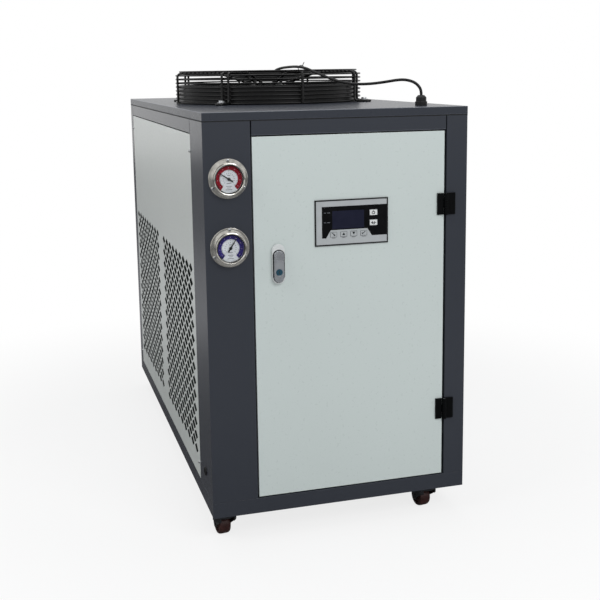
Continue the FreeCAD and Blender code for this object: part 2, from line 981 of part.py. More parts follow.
def lock():
    """Pill-shaped lock: housing, spindle with cam, swing handle and key plug."""
    clear = size.running_clearance
    head_back = lock_front + size.lock_proud * 0.6
    boss_end = door_back + size.door_stop_gap
    housing = cut(
        fuse(
            pill(
                lock_x, lock_front, front,
                lock_z - size.lock_length / 2, lock_z + size.lock_length / 2, size.lock_width,
            ),
            cylinder((lock_x, front, spindle_z), size.lock_boss_radius, boss_end - front, ALONG_Y),
        ),
        cylinder(
            (lock_x, lock_front - 1, spindle_z),
            size.spindle_head_radius + clear, head_back - lock_front + 1, ALONG_Y,
        ),
        cylinder(
            (lock_x, lock_front, spindle_z),
            size.spindle_radius + clear, 3 * size.door_thickness, ALONG_Y,
        ),
    )
    node(housing, "lock_housing")

    cam_front = front + door_step + size.sheet + size.door_stop_gap
    cam_back = cam_front + size.cam_thickness
    half = size.cam_width / 2
    spindle = fuse(
        cylinder(
            (lock_x, lock_front, spindle_z),
            size.spindle_head_radius, head_back - lock_front - clear, ALONG_Y,
        ),
        cylinder((lock_x, lock_front, spindle_z), size.spindle_radius, cam_back - lock_front, ALONG_Y),
    )
    node(spindle, "lock_spindle")
    cam = cut(
        fuse(
            cylinder((lock_x, cam_front, spindle_z), half, size.cam_thickness, ALONG_Y),
            box((lock_x - half, cam_front, spindle_z - size.cam_length), (lock_x + half, cam_back, spindle_z)),
        ),
        cylinder((lock_x, cam_front - 1, spindle_z), size.spindle_radius, size.cam_thickness + 2, ALONG_Y),
    )
    node(cam, "lock_cam")

    handle = cut(
        pill(
            lock_x, handle_front, handle_back,
            handle_top - size.handle_length, handle_top, size.handle_width,
        ),
        cylinder(
            (lock_x, handle_front - 1, plug_z),
            size.plug_radius + clear, size.handle_thickness + 2, ALONG_Y,
        ),
    )
    node(handle, "lock_handle")

    slot_half = size.key_slot_width / 2
    slot_reach = size.key_slot_length / 2
    plug_front = handle_front - size.plug_proud
    plug = cut(
        cylinder((lock_x, plug_front, plug_z), size.plug_radius, handle_back - plug_front, ALONG_Y),
        box(
            (lock_x - slot_half, plug_front - 1, plug_z - slot_reach),
            (lock_x + slot_half, plug_front + size.handle_thickness / 2, plug_z + slot_reach),
        ),
    )
    node(plug, "key_plug")


# Pressure gauges

def gauge_parts(level):
    """The case, dial and glass of one gauge, turned about its own axis."""
    clear = size.running_clearance
    z = base_bottom + level
    proud = size.gauge_proud
    window = size.gauge_window_radius
    glass_back = proud - size.gauge_lip - size.glass_thickness
    seat = proud - size.dial_depth
    pocket = window + size.gauge_lip
    case = turned(
        [
            (0, seat - size.dial_thickness),
            (pocket, seat - size.dial_thickness),
            (pocket, proud - size.gauge_lip),
            (window, proud - size.gauge_lip),
            (window, proud),
            (size.gauge_bezel_radius - size.gauge_lip, proud),
            (size.gauge_bezel_radius, proud - size.gauge_lip),
            (size.gauge_bezel_radius, size.gauge_flange),
            (size.gauge_flange_radius, size.gauge_flange),
            (size.gauge_flange_radius, 0),
            (size.gauge_body_radius, 0),
            (size.gauge_body_radius, -size.gauge_body_depth),
            (size.gauge_stem_radius, -size.gauge_body_depth),
            (size.gauge_stem_radius, -size.gauge_body_depth - size.gauge_stem_length),
            (0, -size.gauge_body_depth - size.gauge_stem_length),
        ],
        (gauge_x, front, z), TOWARDS_FRONT,
    )
    dial = turned(
        [
            (size.pointer_pin_radius + clear, seat - size.dial_thickness),
            (pocket - clear, seat - size.dial_thickness),
            (pocket - clear, seat),
            (size.pointer_pin_radius + clear, seat),
        ],
        (gauge_x, front, z), TOWARDS_FRONT,
    )
    glass = turned(
        [
            (0, glass_back),
            (pocket - clear, glass_back),
            (pocket - clear, proud - size.gauge_lip),
            (0, proud - size.gauge_lip),
        ],
        (gauge_x, front, z), TOWARDS_FRONT,
    )
    return case, dial, glass


def pointer(label, level, angle):
    """A thin pointer with a tail, a hub and a pin in the dial; angle is clockwise from up."""
    z = base_bottom + level
    seat = size.gauge_proud - size.dial_depth
    start = front - seat - 1.5 - size.pointer_thickness
    end = front - seat - 1.5
    blade = padded(
        [
            (-size.pointer_tail * 0.18, -size.pointer_tail),
            (size.pointer_tail * 0.18, -size.pointer_tail),
            (0.5, size.pointer_reach),
            (-0.5, size.pointer_reach),
        ],
        size.pointer_thickness, (gauge_x, end, z),
        TOWARDS_FRONT.multiply(Rotation(Vector(0, 0, 1), -angle)),
    )
    hub = cylinder((gauge_x, start - 1, z), size.pointer_hub_radius, end - start + 1, ALONG_Y)
    pin = cylinder(
        (gauge_x, end - 0.5, z),
        size.pointer_pin_radius, 2 + size.dial_thickness - size.running_clearance, ALONG_Y,
    )
    node(fuse(blade, hub, pin), label)


def gauges():
    cases, dials, glasses = zip(*[
        gauge_parts(level) for level in (size.red_gauge_height, size.blue_gauge_height)
    ])
    drilled = cut(fuse(*cases), *drills([
        ((x, y - size.gauge_flange, z), turn) for (x, y, z), turn in gauge_screw_places()
    ]))
    node(drilled, "gauge_cases")
    group(dials, "gauge_dials")
    group(glasses, "gauge_glasses")
    pointer("red_pointer", size.red_gauge_height, -57)
    pointer("blue_pointer", size.blue_gauge_height, 33)


# Fan, guard and the fan's lead

def rib_angles(offset):
    """Directions of the guard's ribs: pairs, each with a foot, half a step from the single ones."""
    step = 360.0 / number(size.rib_pairs)
    count = int(number(size.rib_pairs))
    return [number(size.rib_turn) + step * (index + offset) for index in range(count)]


def foot_angles():
    return rib_angles(0.5)


def foot_bolt_place(angle):
    """The middle of a foot's loop, on the lid."""
    reach = size.guard_radius + size.foot_length / 2
    turn = math.radians(angle)
    return (reach * math.cos(turn), fan_y + reach * math.sin(turn), lid_top)


def foot_bolt_holes():
    radius = size.bolt_radius + size.running_clearance
    holes = []
    for angle in foot_angles():
        x, y, z = foot_bolt_place(angle)
        holes.append(cylinder((x, y, post_top), radius, 2 * size.lid_height))
    return holes


def fan_shroud():
    flange = size.sheet
    points = [
        (size.shroud_inner_radius, 0),
        (size.shroud_flange_radius, 0),
        (size.shroud_flange_radius, flange),
        (size.shroud_outer_radius, flange),
        (size.shroud_outer_radius, size.shroud_height),
        (size.shroud_inner_radius, size.shroud_height),
    ]
    node(turned(points, (0, fan_y, lid_top)), "fan_shroud")


def thick_line(points, width):
    """The outline of a bar of even width along a bent line, mitred at its bends."""
    sides = []
    for side in (1, -1):
        edge = []
        for index, point in enumerate(points):
            before = points[max(index - 1, 0)]
            after = points[min(index + 1, len(points) - 1)]
            into = (point - before).normalize() if index > 0 else (after - point).normalize()
            out = (after - point).normalize() if index < len(points) - 1 else into
            middle = (into + out).normalize()
            across = Vector(-middle.y, middle.x)
            mitre = width / 2 / max(middle.dot(into), 0.2)
            edge.append(point + across * mitre * side)
        sides.append(edge)
    return sides[0] + sides[1][::-1]


def fan_guard():
    """A cage of wires: rings within, pairs of ribs that end in feet, and single ribs between."""
    wire = number(size.guard_wire)
    radius = number(size.guard_radius)
    weld = wire / 8
    corner = number(size.guard_corner)
    pitch = number(size.guard_ring_pitch)
    rib_radius = radius - wire / 2
    rib_top = number(size.guard_height) - wire / 2
    hub = number(size.guard_hub_height) + wire / 2
    dish = number(size.guard_dish_radius)
    rib_line = [
        Vector(rib_radius, 0),
        Vector(rib_radius, rib_top - corner),
        Vector(rib_radius - corner, rib_top),
        Vector(dish, rib_top - number(size.guard_dish_drop)),
        Vector(number(size.guard_hub_radius) - wire / 2, hub),
    ]

    def ring(outer, centre_z, width=wire):
        low = Vector(0, 0, centre_z - wire / 2)
        return Part.makeCylinder(outer, wire, low).cut(Part.makeCylinder(outer - width, wire, low))

    def rib_height(at):
        """How high the rib's line runs at a radius on the top."""
        for outer, inner in zip(rib_line[2:], rib_line[3:]):
            if inner.x <= at <= outer.x:
                share = (at - inner.x) / (outer.x - inner.x)
                return inner.y + share * (outer.y - inner.y)
        return rib_top

    pieces = []
    for index in range(1, int(number(size.guard_rings))):
        pieces.append(ring(radius - wire + weld, rib_top - index * pitch))
    count = int(number(size.guard_top_rings))
    inner = number(size.guard_inner_ring)
    for index in range(count):
        centre = inner + (rib_radius - corner - inner) * index / (count - 1)
        pieces.append(ring(centre + wire / 2, rib_height(centre) - wire + weld))
    hub_width = number(size.guard_hub_radius - size.guard_hub_hole)
    pieces.append(ring(number(size.guard_hub_radius), hub, hub_width))

    side_points = thick_line(rib_line, wire)
    section = Part.Face(Part.makePolygon([
        Vector(point.x, 0, point.y) for point in side_points + side_points[:1]
    ]))
    half = number(size.rib_spacing) / 2
    foot = number(size.foot_length)

    def turned_about_fan(piece, angle):
        piece.rotate(Vector(0, 0, 0), Vector(0, 0, 1), angle)
        return piece

    def rib(side):
        return section.extrude(Vector(0, wire, 0)).translated(Vector(0, side - wire / 2, 0))

    for angle in rib_angles(0):
        pieces.append(turned_about_fan(rib(0), angle))
    for angle in foot_angles():
        for side in (-half, half):
            bar = Part.makeBox(wire / 2 + foot, wire, wire, Vector(rib_radius, side - wire / 2, 0))
            pieces.append(turned_about_fan(rib(side), angle))
            pieces.append(turned_about_fan(bar, angle))
        end_place = Vector(radius + foot - wire, -half - wire / 2, 0)
        pieces.append(turned_about_fan(Part.makeBox(wire, 2 * half + wire, wire, end_place), angle))
    cage = pieces[0].multiFuse(pieces[1:]).removeSplitter()
    plain_node(cage, "fan_guard", Placement(Vector(0, number(fan_y), number(lid_top)), UPRIGHT))


def guard_bolts():
    """A hex bolt with its washer on each foot of the guard."""
    items = []
    for angle in foot_angles():
        x, y, z = foot_bolt_place(angle)
        top = z + size.guard_wire
        washer = cylinder((x, y, top), size.bolt_head_radius + size.washer_margin, size.washer)
        head = doc.addObject("Part::Prism", "Prism")
        head.Polygon = 6
        bind(head, Circumradius=size.bolt_head_radius, Height=size.bolt_head)
        put(head, (x, y, top + size.washer))
        shank = cylinder((x, y, top - size.bolt_length), size.bolt_radius, size.bolt_length + 1)
        items.append(fuse(washer, head, shank))
    group(items, "guard_bolts")


def fan_motor():
    """The fixed part of the motor: plate under the guard's hub, cap and shaft."""
    seat = size.guard_hub_height
    plate_bottom = seat - size.motor_plate
    shaft_bottom = size.fan_hub_bottom + size.fan_hub_floor + size.shaft_gap
    points = [
        (0, shaft_bottom),
        (size.motor_shaft_radius, shaft_bottom),
        (size.motor_shaft_radius, plate_bottom),
        (size.guard_hub_radius, plate_bottom),
        (size.guard_hub_radius, seat),
        (size.motor_cap_radius, seat),
        (size.motor_cap_radius, seat + size.motor_cap),
        (0, seat + size.motor_cap),
    ]
    node(turned(points, (0, fan_y, lid_top)), "fan_motor")


def blade_section(at, chord, pitch, thickness, middle_z):
    """A blade's flat section at one radius, set at its pitch."""
    along = Vector(0, math.cos(math.radians(pitch)), math.sin(math.radians(pitch))) * (chord / 2)
    across = Vector(0, -math.sin(math.radians(pitch)), math.cos(math.radians(pitch))) * (thickness / 2)
    centre = Vector(at, 0, middle_z)
    corners = [centre + along + across, centre - along + across, centre - along - across,
               centre + along - across]
    return Part.makePolygon(corners + corners[:1])


def fan_rotor():
    """The turning hub with its pitched blades."""
    bottom = number(size.fan_hub_bottom)
    top = number(size.guard_hub_height - size.motor_plate - size.soft_clearance)
    hub_radius = number(size.fan_hub_radius)
    bore = number(size.motor_shaft_radius + size.running_clearance)
    floor = number(size.fan_hub_floor)
    hub = Part.makeCylinder(hub_radius, top - bottom, Vector(0, 0, bottom))
    hub = hub.cut(Part.makeCylinder(bore, top - bottom, Vector(0, 0, bottom + floor)))
    middle = (top + bottom) / 2
    thickness = number(size.blade_thickness)
    count = int(number(size.fan_blades))
    root = blade_section(
        hub_radius - 6.0, number(size.blade_root_chord), number(size.blade_root_pitch), thickness, middle,
    )
    tip = blade_section(
        number(size.fan_tip_radius), number(size.blade_tip_chord), number(size.blade_tip_pitch),
        thickness, middle,
    )
    blades = []
    for index in range(count):
        blade = Part.makeLoft([root, tip], True, True)
        blade.rotate(Vector(0, 0, 0), Vector(0, 0, 1), index * 360.0 / count)
        blades.append(blade)
    rotor = hub.multiFuse(blades).removeSplitter()
    plain_node(rotor, "fan_rotor", Placement(Vector(0, number(fan_y), number(lid_top)), UPRIGHT))


def cable_gland():
    """A black screw gland on the lid, where the fan's lead goes in."""
    radius = size.gland_radius
    thread = size.gland_thread_radius
    points = [
        (0, -size.gland_thread),
        (thread, -size.gland_thread),
        (thread, 0),
        (radius, 0),
        (radius, size.gland_flange),
        (size.gland_nut_radius, size.gland_flange),
        (size.gland_nut_radius, size.gland_nut),
        (size.gland_mouth_radius, size.gland_height),
        (0, size.gland_height),
    ]
    place = (right - size.gland_side, front + size.gland_back, lid_top)
    node(turned(points, place), "cable_gland")


# The lead's points, from the fan's centre on the lid's top face
LEAD_POINTS = [
    (11, -14, 52.0),
    (11, -14, 64),
    (11, -20, 74.5),
    (11, -32, 82),
    (10.5, -50, 86),
    (10, -76, 88),
    (9, -110, 90.5),
    (10, -158, 92),
    (12, -205, 93),
    (15, -250, 92.5),
    (23, -285, 89),
    (35, -311, 80),
    (50, -336, 71),
    (68, -361, 61),
    (86, -385, 54),
    (104, -407, 50),
    (119, -425, 49.5),
    (136, -444, 50.5),
    (153, -463, 53),
    (168, -479, 56),
    (180, -491.5, 58.5),
    (192, -503, 59.5),
    (203, -511.5, 57.5),
    (213.5, -519.5, 53),
    (222, -524.5, 44.5),
    (227, -527, 34),
    (227, -527, 24.0),
]


def rounded_path(points, radius_at):
    """Straight runs joined by tangent arcs; radius_at gives each bend its radius."""
    edges = []
    radii = []
    start = points[0]
    for before, corner, after in zip(points, points[1:], points[2:]):
        into = (before - corner).normalize()
        out = (after - corner).normalize()
        half_turn = (math.pi - into.getAngle(out)) / 2
        shorter = min((corner - before).Length, (after - corner).Length)
        radius = radius_at(shorter, half_turn)
        setback = radius * math.tan(half_turn)
        first = corner + into * setback
        last = corner + out * setback
        bisector = (into + out).normalize()
        centre = corner + bisector * (radius / math.cos(half_turn))
        edges.append(Part.LineSegment(start, first).toShape())
        edges.append(Part.Arc(first, centre - bisector * radius, last).toShape())
        start = last
        radii.append(radius)
    edges.append(Part.LineSegment(start, points[-1]).toShape())
    return Part.Wire(edges), radii


def tube(points, radius, radius_at):
    """A round solid swept along a rounded path."""
    path, radii = rounded_path(points, radius_at)
    ring = Part.Wire(Part.makeCircle(radius, points[0], points[1] - points[0]))
    solid = path.makePipeShell([ring], True, True)
    return solid, path.Length, radii


def fan_lead():
    """The lead from the motor's cap, over the guard and down into the gland."""
    centre = Vector(0, number(fan_y), number(lid_top))
    points = [centre + Vector(*point) for point in LEAD_POINTS]
    arc_share = 0.45

    def bend(shorter, half_turn):
        return arc_share * shorter / math.tan(half_turn)

    radius = number(size.lead_diameter) / 2
    solid, length, radii = tube(points, radius, bend)
    expected = math.pi * radius ** 2 * length
    print("fan lead length", round(length, 1), "radii", [round(value) for value in radii])
    print("fan lead volume", round(solid.Volume), "expected", round(expected))
    plain_node(solid, "fan_lead")


# Casters

def caster(name, x, y):
    """One swivel caster: plate with race and pin, fork with axle, and wheel."""
    clear = size.running_clearance
    plate_bottom = base_bottom - size.caster_plate
    race_bottom = plate_bottom - size.caster_race
    crown_top = race_bottom - size.soft_clearance
    crown_bottom = crown_top - size.caster_crown
    half = size.caster_plate_size / 2
    plate = fuse(
        box((x - half, y - half, plate_bottom), (x + half, y + half, base_bottom)),
        cylinder((x, y, race_bottom), size.caster_race_radius, size.caster_race),
        cylinder((x, y, crown_bottom), size.caster_pin_radius, base_bottom - crown_bottom),
    )
    turn = Rotation(Vector(0, 0, 1), number(size.caster_turn))
    fork = put(caster_fork(crown_bottom, crown_top), (x, y, 0), turn)
    node(fork, f"caster_fork_{name}")
    angle = math.radians(number(size.caster_turn))
    sine = Size(math.sin(angle), f"sin({formula(size.caster_turn)} * 1 deg)")
    cosine = Size(math.cos(angle), f"cos({formula(size.caster_turn)} * 1 deg)")
    wheel_place = (x - size.caster_trail * sine, y + size.caster_trail * cosine, size.wheel_radius)
    node(caster_wheel(wheel_place, turn * ALONG_X), f"caster_wheel_{name}")
    return plate


def caster_fork(crown_bottom, crown_top):
    """A bowl open where the wheel passes, and two tapered cheeks that hold the axle."""
    radius = size.caster_crown_radius
    skirt_bottom = crown_top - size.caster_skirt
    cheek_start = size.wheel_width / 2 + size.wheel_gap
    below = skirt_bottom - size.wheel_gap
    bowl = cut(
        cylinder((0, 0, skirt_bottom), radius, size.caster_skirt),
        cylinder((0, 0, below), radius - size.cheek, crown_bottom - below),
        box((-cheek_start, -radius, below), (cheek_start, radius, crown_bottom)),
    )
    trail = size.caster_trail
    axle_z = size.wheel_radius
    lowest = axle_z - size.axle_radius - size.axle_margin
    section = [
        (-size.cheek_top_width / 2, crown_bottom + size.wheel_gap),
        (-size.cheek_top_width / 2, skirt_bottom),
        (trail - size.cheek_width / 2, axle_z),
        (trail - size.cheek_tip_width / 2, lowest),
        (trail + size.cheek_tip_width / 2, lowest),
        (trail + size.cheek_width / 2, axle_z),
        (size.cheek_top_width / 2, skirt_bottom),
        (size.cheek_top_width / 2, crown_bottom + size.wheel_gap),
    ]
    cheeks = [
        padded(section, size.cheek, (start, 0, 0), SIDE_ON)
        for start in (cheek_start, -cheek_start - size.cheek)
    ]
    reach = cheek_start + size.cheek + size.axle_end
    axle = cylinder((-reach, trail, axle_z), size.axle_radius, 2 * reach, ALONG_X)
    pin_hole = cylinder(
        (0, 0, below), size.caster_pin_radius + size.running_clearance, crown_top + size.wheel_gap - below,
    )
    return cut(fuse(bowl, axle, *cheeks), pin_hole)


def caster_wheel(place, turn):
    tread = size.wheel_width / 2
    radius = size.wheel_radius
    bore = size.axle_radius + size.running_clearance
    hub = size.axle_radius + size.wheel_hub_wall
    rim = radius * size.wheel_rim_share
    shoulder = size.wheel_shoulder
    depth = size.wheel_web_depth
    half_section = [
        (bore, tread),
        (hub, tread),
        (hub, tread - depth),
        (rim, tread - depth),
        (rim, tread),
        (radius - shoulder, tread),
        (radius - shoulder * 0.3, tread - shoulder * 0.3),
        (radius, tread - shoulder),
    ]
    other_half = [(reach, -height) for reach, height in reversed(half_section)]
    return turned(half_section + other_half, place, turn)


def casters():
    plates = []
    for end, y in (
        ("front", front + size.front_caster_inset),
        ("rear", back - size.rear_caster_inset),
    ):
        for side in ("left", "right"):
            inset = size.front_left_caster_side if (end, side) == ("front", "left") else size.caster_side
            x = left + inset if side == "left" else right - inset
            plates.append(caster(f"{end}_{side}", x, y))
    group(plates, "caster_plates")


# Machinery inside

def fixed_bend(radius):
    return lambda shorter, half_turn: radius


def condenser():
    """A finned coil between two end plates, behind the perforated panel."""
    coil_right = coil_left + size.coil_thickness
    item = fuse(
        box((coil_left, coil_front, base_top), (coil_right, coil_back, base_top + size.coil_height)),
        box(
            (coil_left, coil_front - size.sheet, base_top),
            (coil_right + 10, coil_front, base_top + size.coil_plate_height),
        ),
        box(
            (coil_left, coil_back, base_top),
            (coil_right + 10, coil_back + size.sheet, base_top + size.coil_plate_height),
        ),
    )
    node(item, "condenser_coil")


def compressor():
    """A hermetic compressor: domed shell on a foot plate with four rubber feet."""
    radius = size.compressor_radius
    height = size.compressor_height
    shell = turned(
        [
            (0, size.compressor_lift),
            (radius * 0.7, size.compressor_lift),
            (radius * 0.92, radius * 0.22),
            (radius, radius * 0.45),
            (radius, height - radius * 0.45),
            (radius * 0.92, height - radius * 0.2),
            (radius * 0.7, height - radius * 0.06),
            (radius * 0.35, height),
            (0, height),
        ],
        (compressor_x, compressor_y, compressor_bottom),
    )
    half = size.compressor_foot / 2
    foot = box(
        (compressor_x - half, compressor_y - half, compressor_bottom),
        (compressor_x + half, compressor_y + half, compressor_bottom + size.compressor_foot_plate),
    )
    node(fuse(shell, foot), "compressor")
    reach = half - size.compressor_foot_inset
    mounts = []
    for side in (-1, 1):
        for end in (-1, 1):
            place = (compressor_x + side * reach, compressor_y + end * reach, pan_top)
            mounts.append(cylinder(place, size.compressor_foot_radius, size.compressor_stand))
    group(mounts, "compressor_feet")


def water_tank():
    """The chilled water tank with the evaporator inside, closed by its cover."""
    tank = box(
        (tank_left, tank_front, pan_top),
        (tank_left + size.tank_width, tank_back, pan_top + size.tank_height),
    )
    lap = size.tank_cover_lap
    cover = box(
        (tank_left - lap, tank_front - lap, pan_top + size.tank_height),
        (tank_left + size.tank_width + lap, tank_back + lap, tank_top),
    )
    node(fuse(tank, cover), "water_tank")


def water_pump():
    """A close-coupled pump: head in front, finned motor behind, and its foot."""
    head = cylinder((pump_x, pump_head_front, pump_z), size.pump_head_radius, size.pump_head_length, ALONG_Y)
    motor = cylinder((pump_x, pump_front, pump_z), size.pump_radius, size.pump_length, ALONG_Y)
    foot_side = size.pump_foot_width / 2
    foot_start = pump_front + size.pump_foot_start
    foot = box(
        (pump_x - foot_side, foot_start, pan_top),
        (pump_x + foot_side, foot_start + size.pump_foot_length, pump_z - size.pump_radius / 2),
    )
    box_side = size.pump_box_width / 2
    box_start = pump_front + size.pump_box_start
    box_top = pump_z + size.pump_radius + size.pump_box_height
    terminal = box(
        (pump_x - box_side, box_start, pump_z),
        (pump_x + box_side, box_start + size.pump_box_length, box_top),
    )
    node(fuse(head, motor, foot, terminal), "water_pump")


def electrical_board():
    """An upright board behind the door, with breakers, contactors and terminals on it."""
    board_x = size.board_side - size.board_width / 2
    board_y = front + size.board_front
    board = fuse(
        box((board_x, board_y, pan_top), (board_x + size.board_width, board_y + size.sheet, board_top)),
        box((board_x, board_y, pan_top), (board_x + size.board_width, board_y + size.board_foot, pan_top + size.sheet)),
    )
    node(board, "electrical_board")
    parts = []
    for drop, height, width, count in (
        (size.breaker_drop, size.breaker_height, size.breaker_width, 4),
        (size.contactor_drop, size.contactor_height, size.contactor_width, 4),
        (size.terminal_drop, size.terminal_height, size.terminal_width, 1),
    ):
        low = board_top - drop
        for index in range(count):
            x = board_x + size.device_margin + index * (width + size.device_gap)
            parts.append(box((x, board_y - size.device_depth, low), (x + width, board_y, low + height)))
    group(parts, "electrical_parts")


def refrigerant_pipes():
    """Copper lines: compressor to coil, coil through the drier to the tank, and back."""
    radius = number(size.gas_pipe_radius)
    bend = fixed_bend(2.0 * radius)
    coil_right = coil_left + size.coil_thickness
    coil_inlet_z = base_top + size.coil_inlet_height
    coil_outlet_z = base_top + size.coil_outlet_height
    shell_top = compressor_bottom + size.compressor_height
    discharge = [
        vector(compressor_x, compressor_y, shell_top),
        vector(compressor_x, compressor_y, coil_inlet_z),
        vector(coil_right, compressor_y, coil_inlet_z),
    ]
    drier_x = coil_right + size.drier_side
    drier_y = compressor_y + size.drier_back
    drier_bottom = base_top + size.drier_height
    drier_top = drier_bottom + size.drier_length
    liquid_in = [
        vector(coil_right, drier_y, coil_outlet_z),
        vector(drier_x, drier_y, coil_outlet_z),
        vector(drier_x, drier_y, drier_bottom),
    ]
    liquid_z = tank_top + size.line_rise
    liquid_end_x = tank_left + size.tank_fitting
    liquid_end_y = tank_back - size.tank_fitting
    liquid_out = [
        vector(drier_x, drier_y, drier_top),
        vector(drier_x, drier_y, liquid_z),
        vector(drier_x, liquid_end_y, liquid_z),
        vector(liquid_end_x, liquid_end_y, liquid_z),
        vector(liquid_end_x, liquid_end_y, tank_top),
    ]
    shell_side = compressor_x + size.compressor_radius
    suction_x = shell_side + size.tank_fitting
    suction_z = liquid_z + size.line_rise
    suction_port_z = compressor_bottom + size.suction_height
    suction_end_x = suction_x - size.tank_fitting
    suction = [
        vector(shell_side, compressor_y, suction_port_z),
        vector(suction_x, compressor_y, suction_port_z),
        vector(suction_x, compressor_y, suction_z),
        vector(suction_x, liquid_end_y, suction_z),
        vector(suction_end_x, liquid_end_y, suction_z),
        vector(suction_end_x, liquid_end_y, tank_top),
    ]
    lines = [tube(points, radius, bend)[0] for points in (discharge, liquid_in, liquid_out, suction)]
    drier_foot = vector(drier_x, drier_y, drier_bottom)
    drier = Part.makeCylinder(number(size.drier_radius), number(size.drier_length), drier_foot)
    plain_node(Part.makeCompound(lines + [drier]), "refrigerant_pipes")


def water_pipes():
    """Plastic pipes: tank to pump, pump to the outlet port, inlet port to the tank."""
    radius = number(size.water_pipe_radius)
    bend = fixed_bend(1.5 * radius)
    port_end = back - 2 * size.sheet
    feed_x = pump_x - size.pump_head_radius - size.feed_gap
    feed_y = pump_head_front - size.feed_gap
    feed = [
        vector(feed_x, tank_front, pump_z),
        vector(feed_x, feed_y, pump_z),
        vector(pump_x, feed_y, pump_z),
        vector(pump_x, pump_head_front, pump_z),
    ]
    head_y = pump_head_front + size.pump_head_length / 2
    supply = [
        vector(pump_x, head_y, pump_z + size.pump_head_radius),
        vector(pump_x, head_y, outlet_z),
        vector(port_x, head_y, outlet_z),
        vector(port_x, port_end, outlet_z),
    ]
    return_x = tank_left + size.tank_width - size.tank_fitting
    return_y = tank_back - 3 * size.tank_fitting
    back_in = [
        vector(port_x, port_end, inlet_z),
        vector(port_x, return_y, inlet_z),
        vector(return_x, return_y, inlet_z),
        vector(return_x, return_y, tank_top),
    ]
    runs = [tube(points, radius, bend)[0] for points in (feed, supply, back_in)]
    plain_node(Part.makeCompound(runs), "water_pipes")


def water_ports():
    """Two threaded sockets through the rear panel, outlet below and inlet above."""
    section = [
        (size.port_bore, -2 * size.sheet),
        (size.port_radius, -2 * size.sheet),
        (size.port_radius, size.port_reach),
        (size.port_thread_radius, size.port_reach),
        (size.port_thread_radius, 0),
        (size.port_bore, 0),
    ]
    stubs = [turned(section, (port_x, back, z), ALONG_Y) for z in (outlet_z, inlet_z)]
    group(stubs, "water_ports")


def build():
    frame()
    top_rails()
    lid()
    mesh_panel()
    plain_panels()
    screws()
    power_grommet()
    door()
    controller()
    hinges()
    lock()
    gauges()
    fan_shroud()
    fan_guard()
    guard_bolts()
    fan_motor()
    fan_rotor()
    cable_gland()
    fan_lead()
    casters()
    condenser()
    compressor()
    water_tank()
    water_pump()
    electrical_board()
    refrigerant_pipes()
    water_pipes()
    water_ports()
    doc.recompute()


def check():
    """Stops on any failed object and on any sub-part that isn't a sound solid."""
    for item in doc.Objects:
        if "Invalid" in item.State or "Error" in item.State:
            raise RuntimeError(f"{item.Name} {item.Label} failed: {item.State}")
    for item in NODES:
        shape = item.Shape
        if shape.isNull() or not shape.isValid() or not shape.Solids:
            raise RuntimeError(f"{item.Label} is not a sound solid")


def write():
    os.makedirs("parts", exist_ok=True)
    for item in NODES:
        item.Shape.exportStep(f"parts/{item.Label}.step")
    print(len(NODES), "sub-parts written")


build()
check()
write()
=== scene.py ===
import json
import math
import random

import bmesh
import bpy
from mathutils import Matrix, Vector


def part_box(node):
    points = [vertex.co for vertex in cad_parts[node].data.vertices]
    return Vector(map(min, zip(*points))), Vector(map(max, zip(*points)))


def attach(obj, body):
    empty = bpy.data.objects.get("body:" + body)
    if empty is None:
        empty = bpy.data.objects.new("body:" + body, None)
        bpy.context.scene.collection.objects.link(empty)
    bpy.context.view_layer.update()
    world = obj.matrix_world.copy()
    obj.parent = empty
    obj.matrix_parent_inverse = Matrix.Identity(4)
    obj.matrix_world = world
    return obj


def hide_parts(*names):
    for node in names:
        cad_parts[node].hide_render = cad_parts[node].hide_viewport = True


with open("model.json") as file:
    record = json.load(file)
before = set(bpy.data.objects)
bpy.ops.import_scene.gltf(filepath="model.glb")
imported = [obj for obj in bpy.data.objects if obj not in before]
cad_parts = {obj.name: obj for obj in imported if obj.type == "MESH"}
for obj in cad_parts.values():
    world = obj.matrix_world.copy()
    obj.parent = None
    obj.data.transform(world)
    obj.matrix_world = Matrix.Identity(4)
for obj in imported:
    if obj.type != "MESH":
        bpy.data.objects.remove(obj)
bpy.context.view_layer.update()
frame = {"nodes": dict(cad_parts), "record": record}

MM = 0.001
NODES = frame["nodes"]
BODY_OF = {
    node: body
    for body, members in frame["record"]["behaviour"]["bodies"].items()
    for node in members
}


def corner(node):
    """Lowest and highest corner of a node, in metres."""
    low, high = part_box(node)
    return Vector(low), Vector(high)


def new_item(name, data):
    item = bpy.data.objects.new(name, data)
    bpy.context.scene.collection.objects.link(item)
    return item


# The main places, all read from the frame
lid_low, lid_high = corner("lid")
LID_TOP = lid_high.z
FRONT = lid_low.y
BACK = lid_high.y
LEFT = lid_low.x
RIGHT = lid_high.x
shroud_low, shroud_high = corner("fan_shroud")
FAN = Vector(((shroud_low.x + shroud_high.x) / 2, (shroud_low.y + shroud_high.y) / 2, LID_TOP))


# Camera, at the photograph's viewing angle

IMAGE = 600.0
FOCAL_PIXELS = 1002.25
HORIZONTAL_TURN = 0.2808398
DOWNWARD_TILT = -0.1704710
ROLL = -0.0142996
CENTRE_ROW = 242.04
CAMERA_PLACE = Vector((-0.6909, FRONT - 2.0718, 1.0477))
SENSOR = 36.0


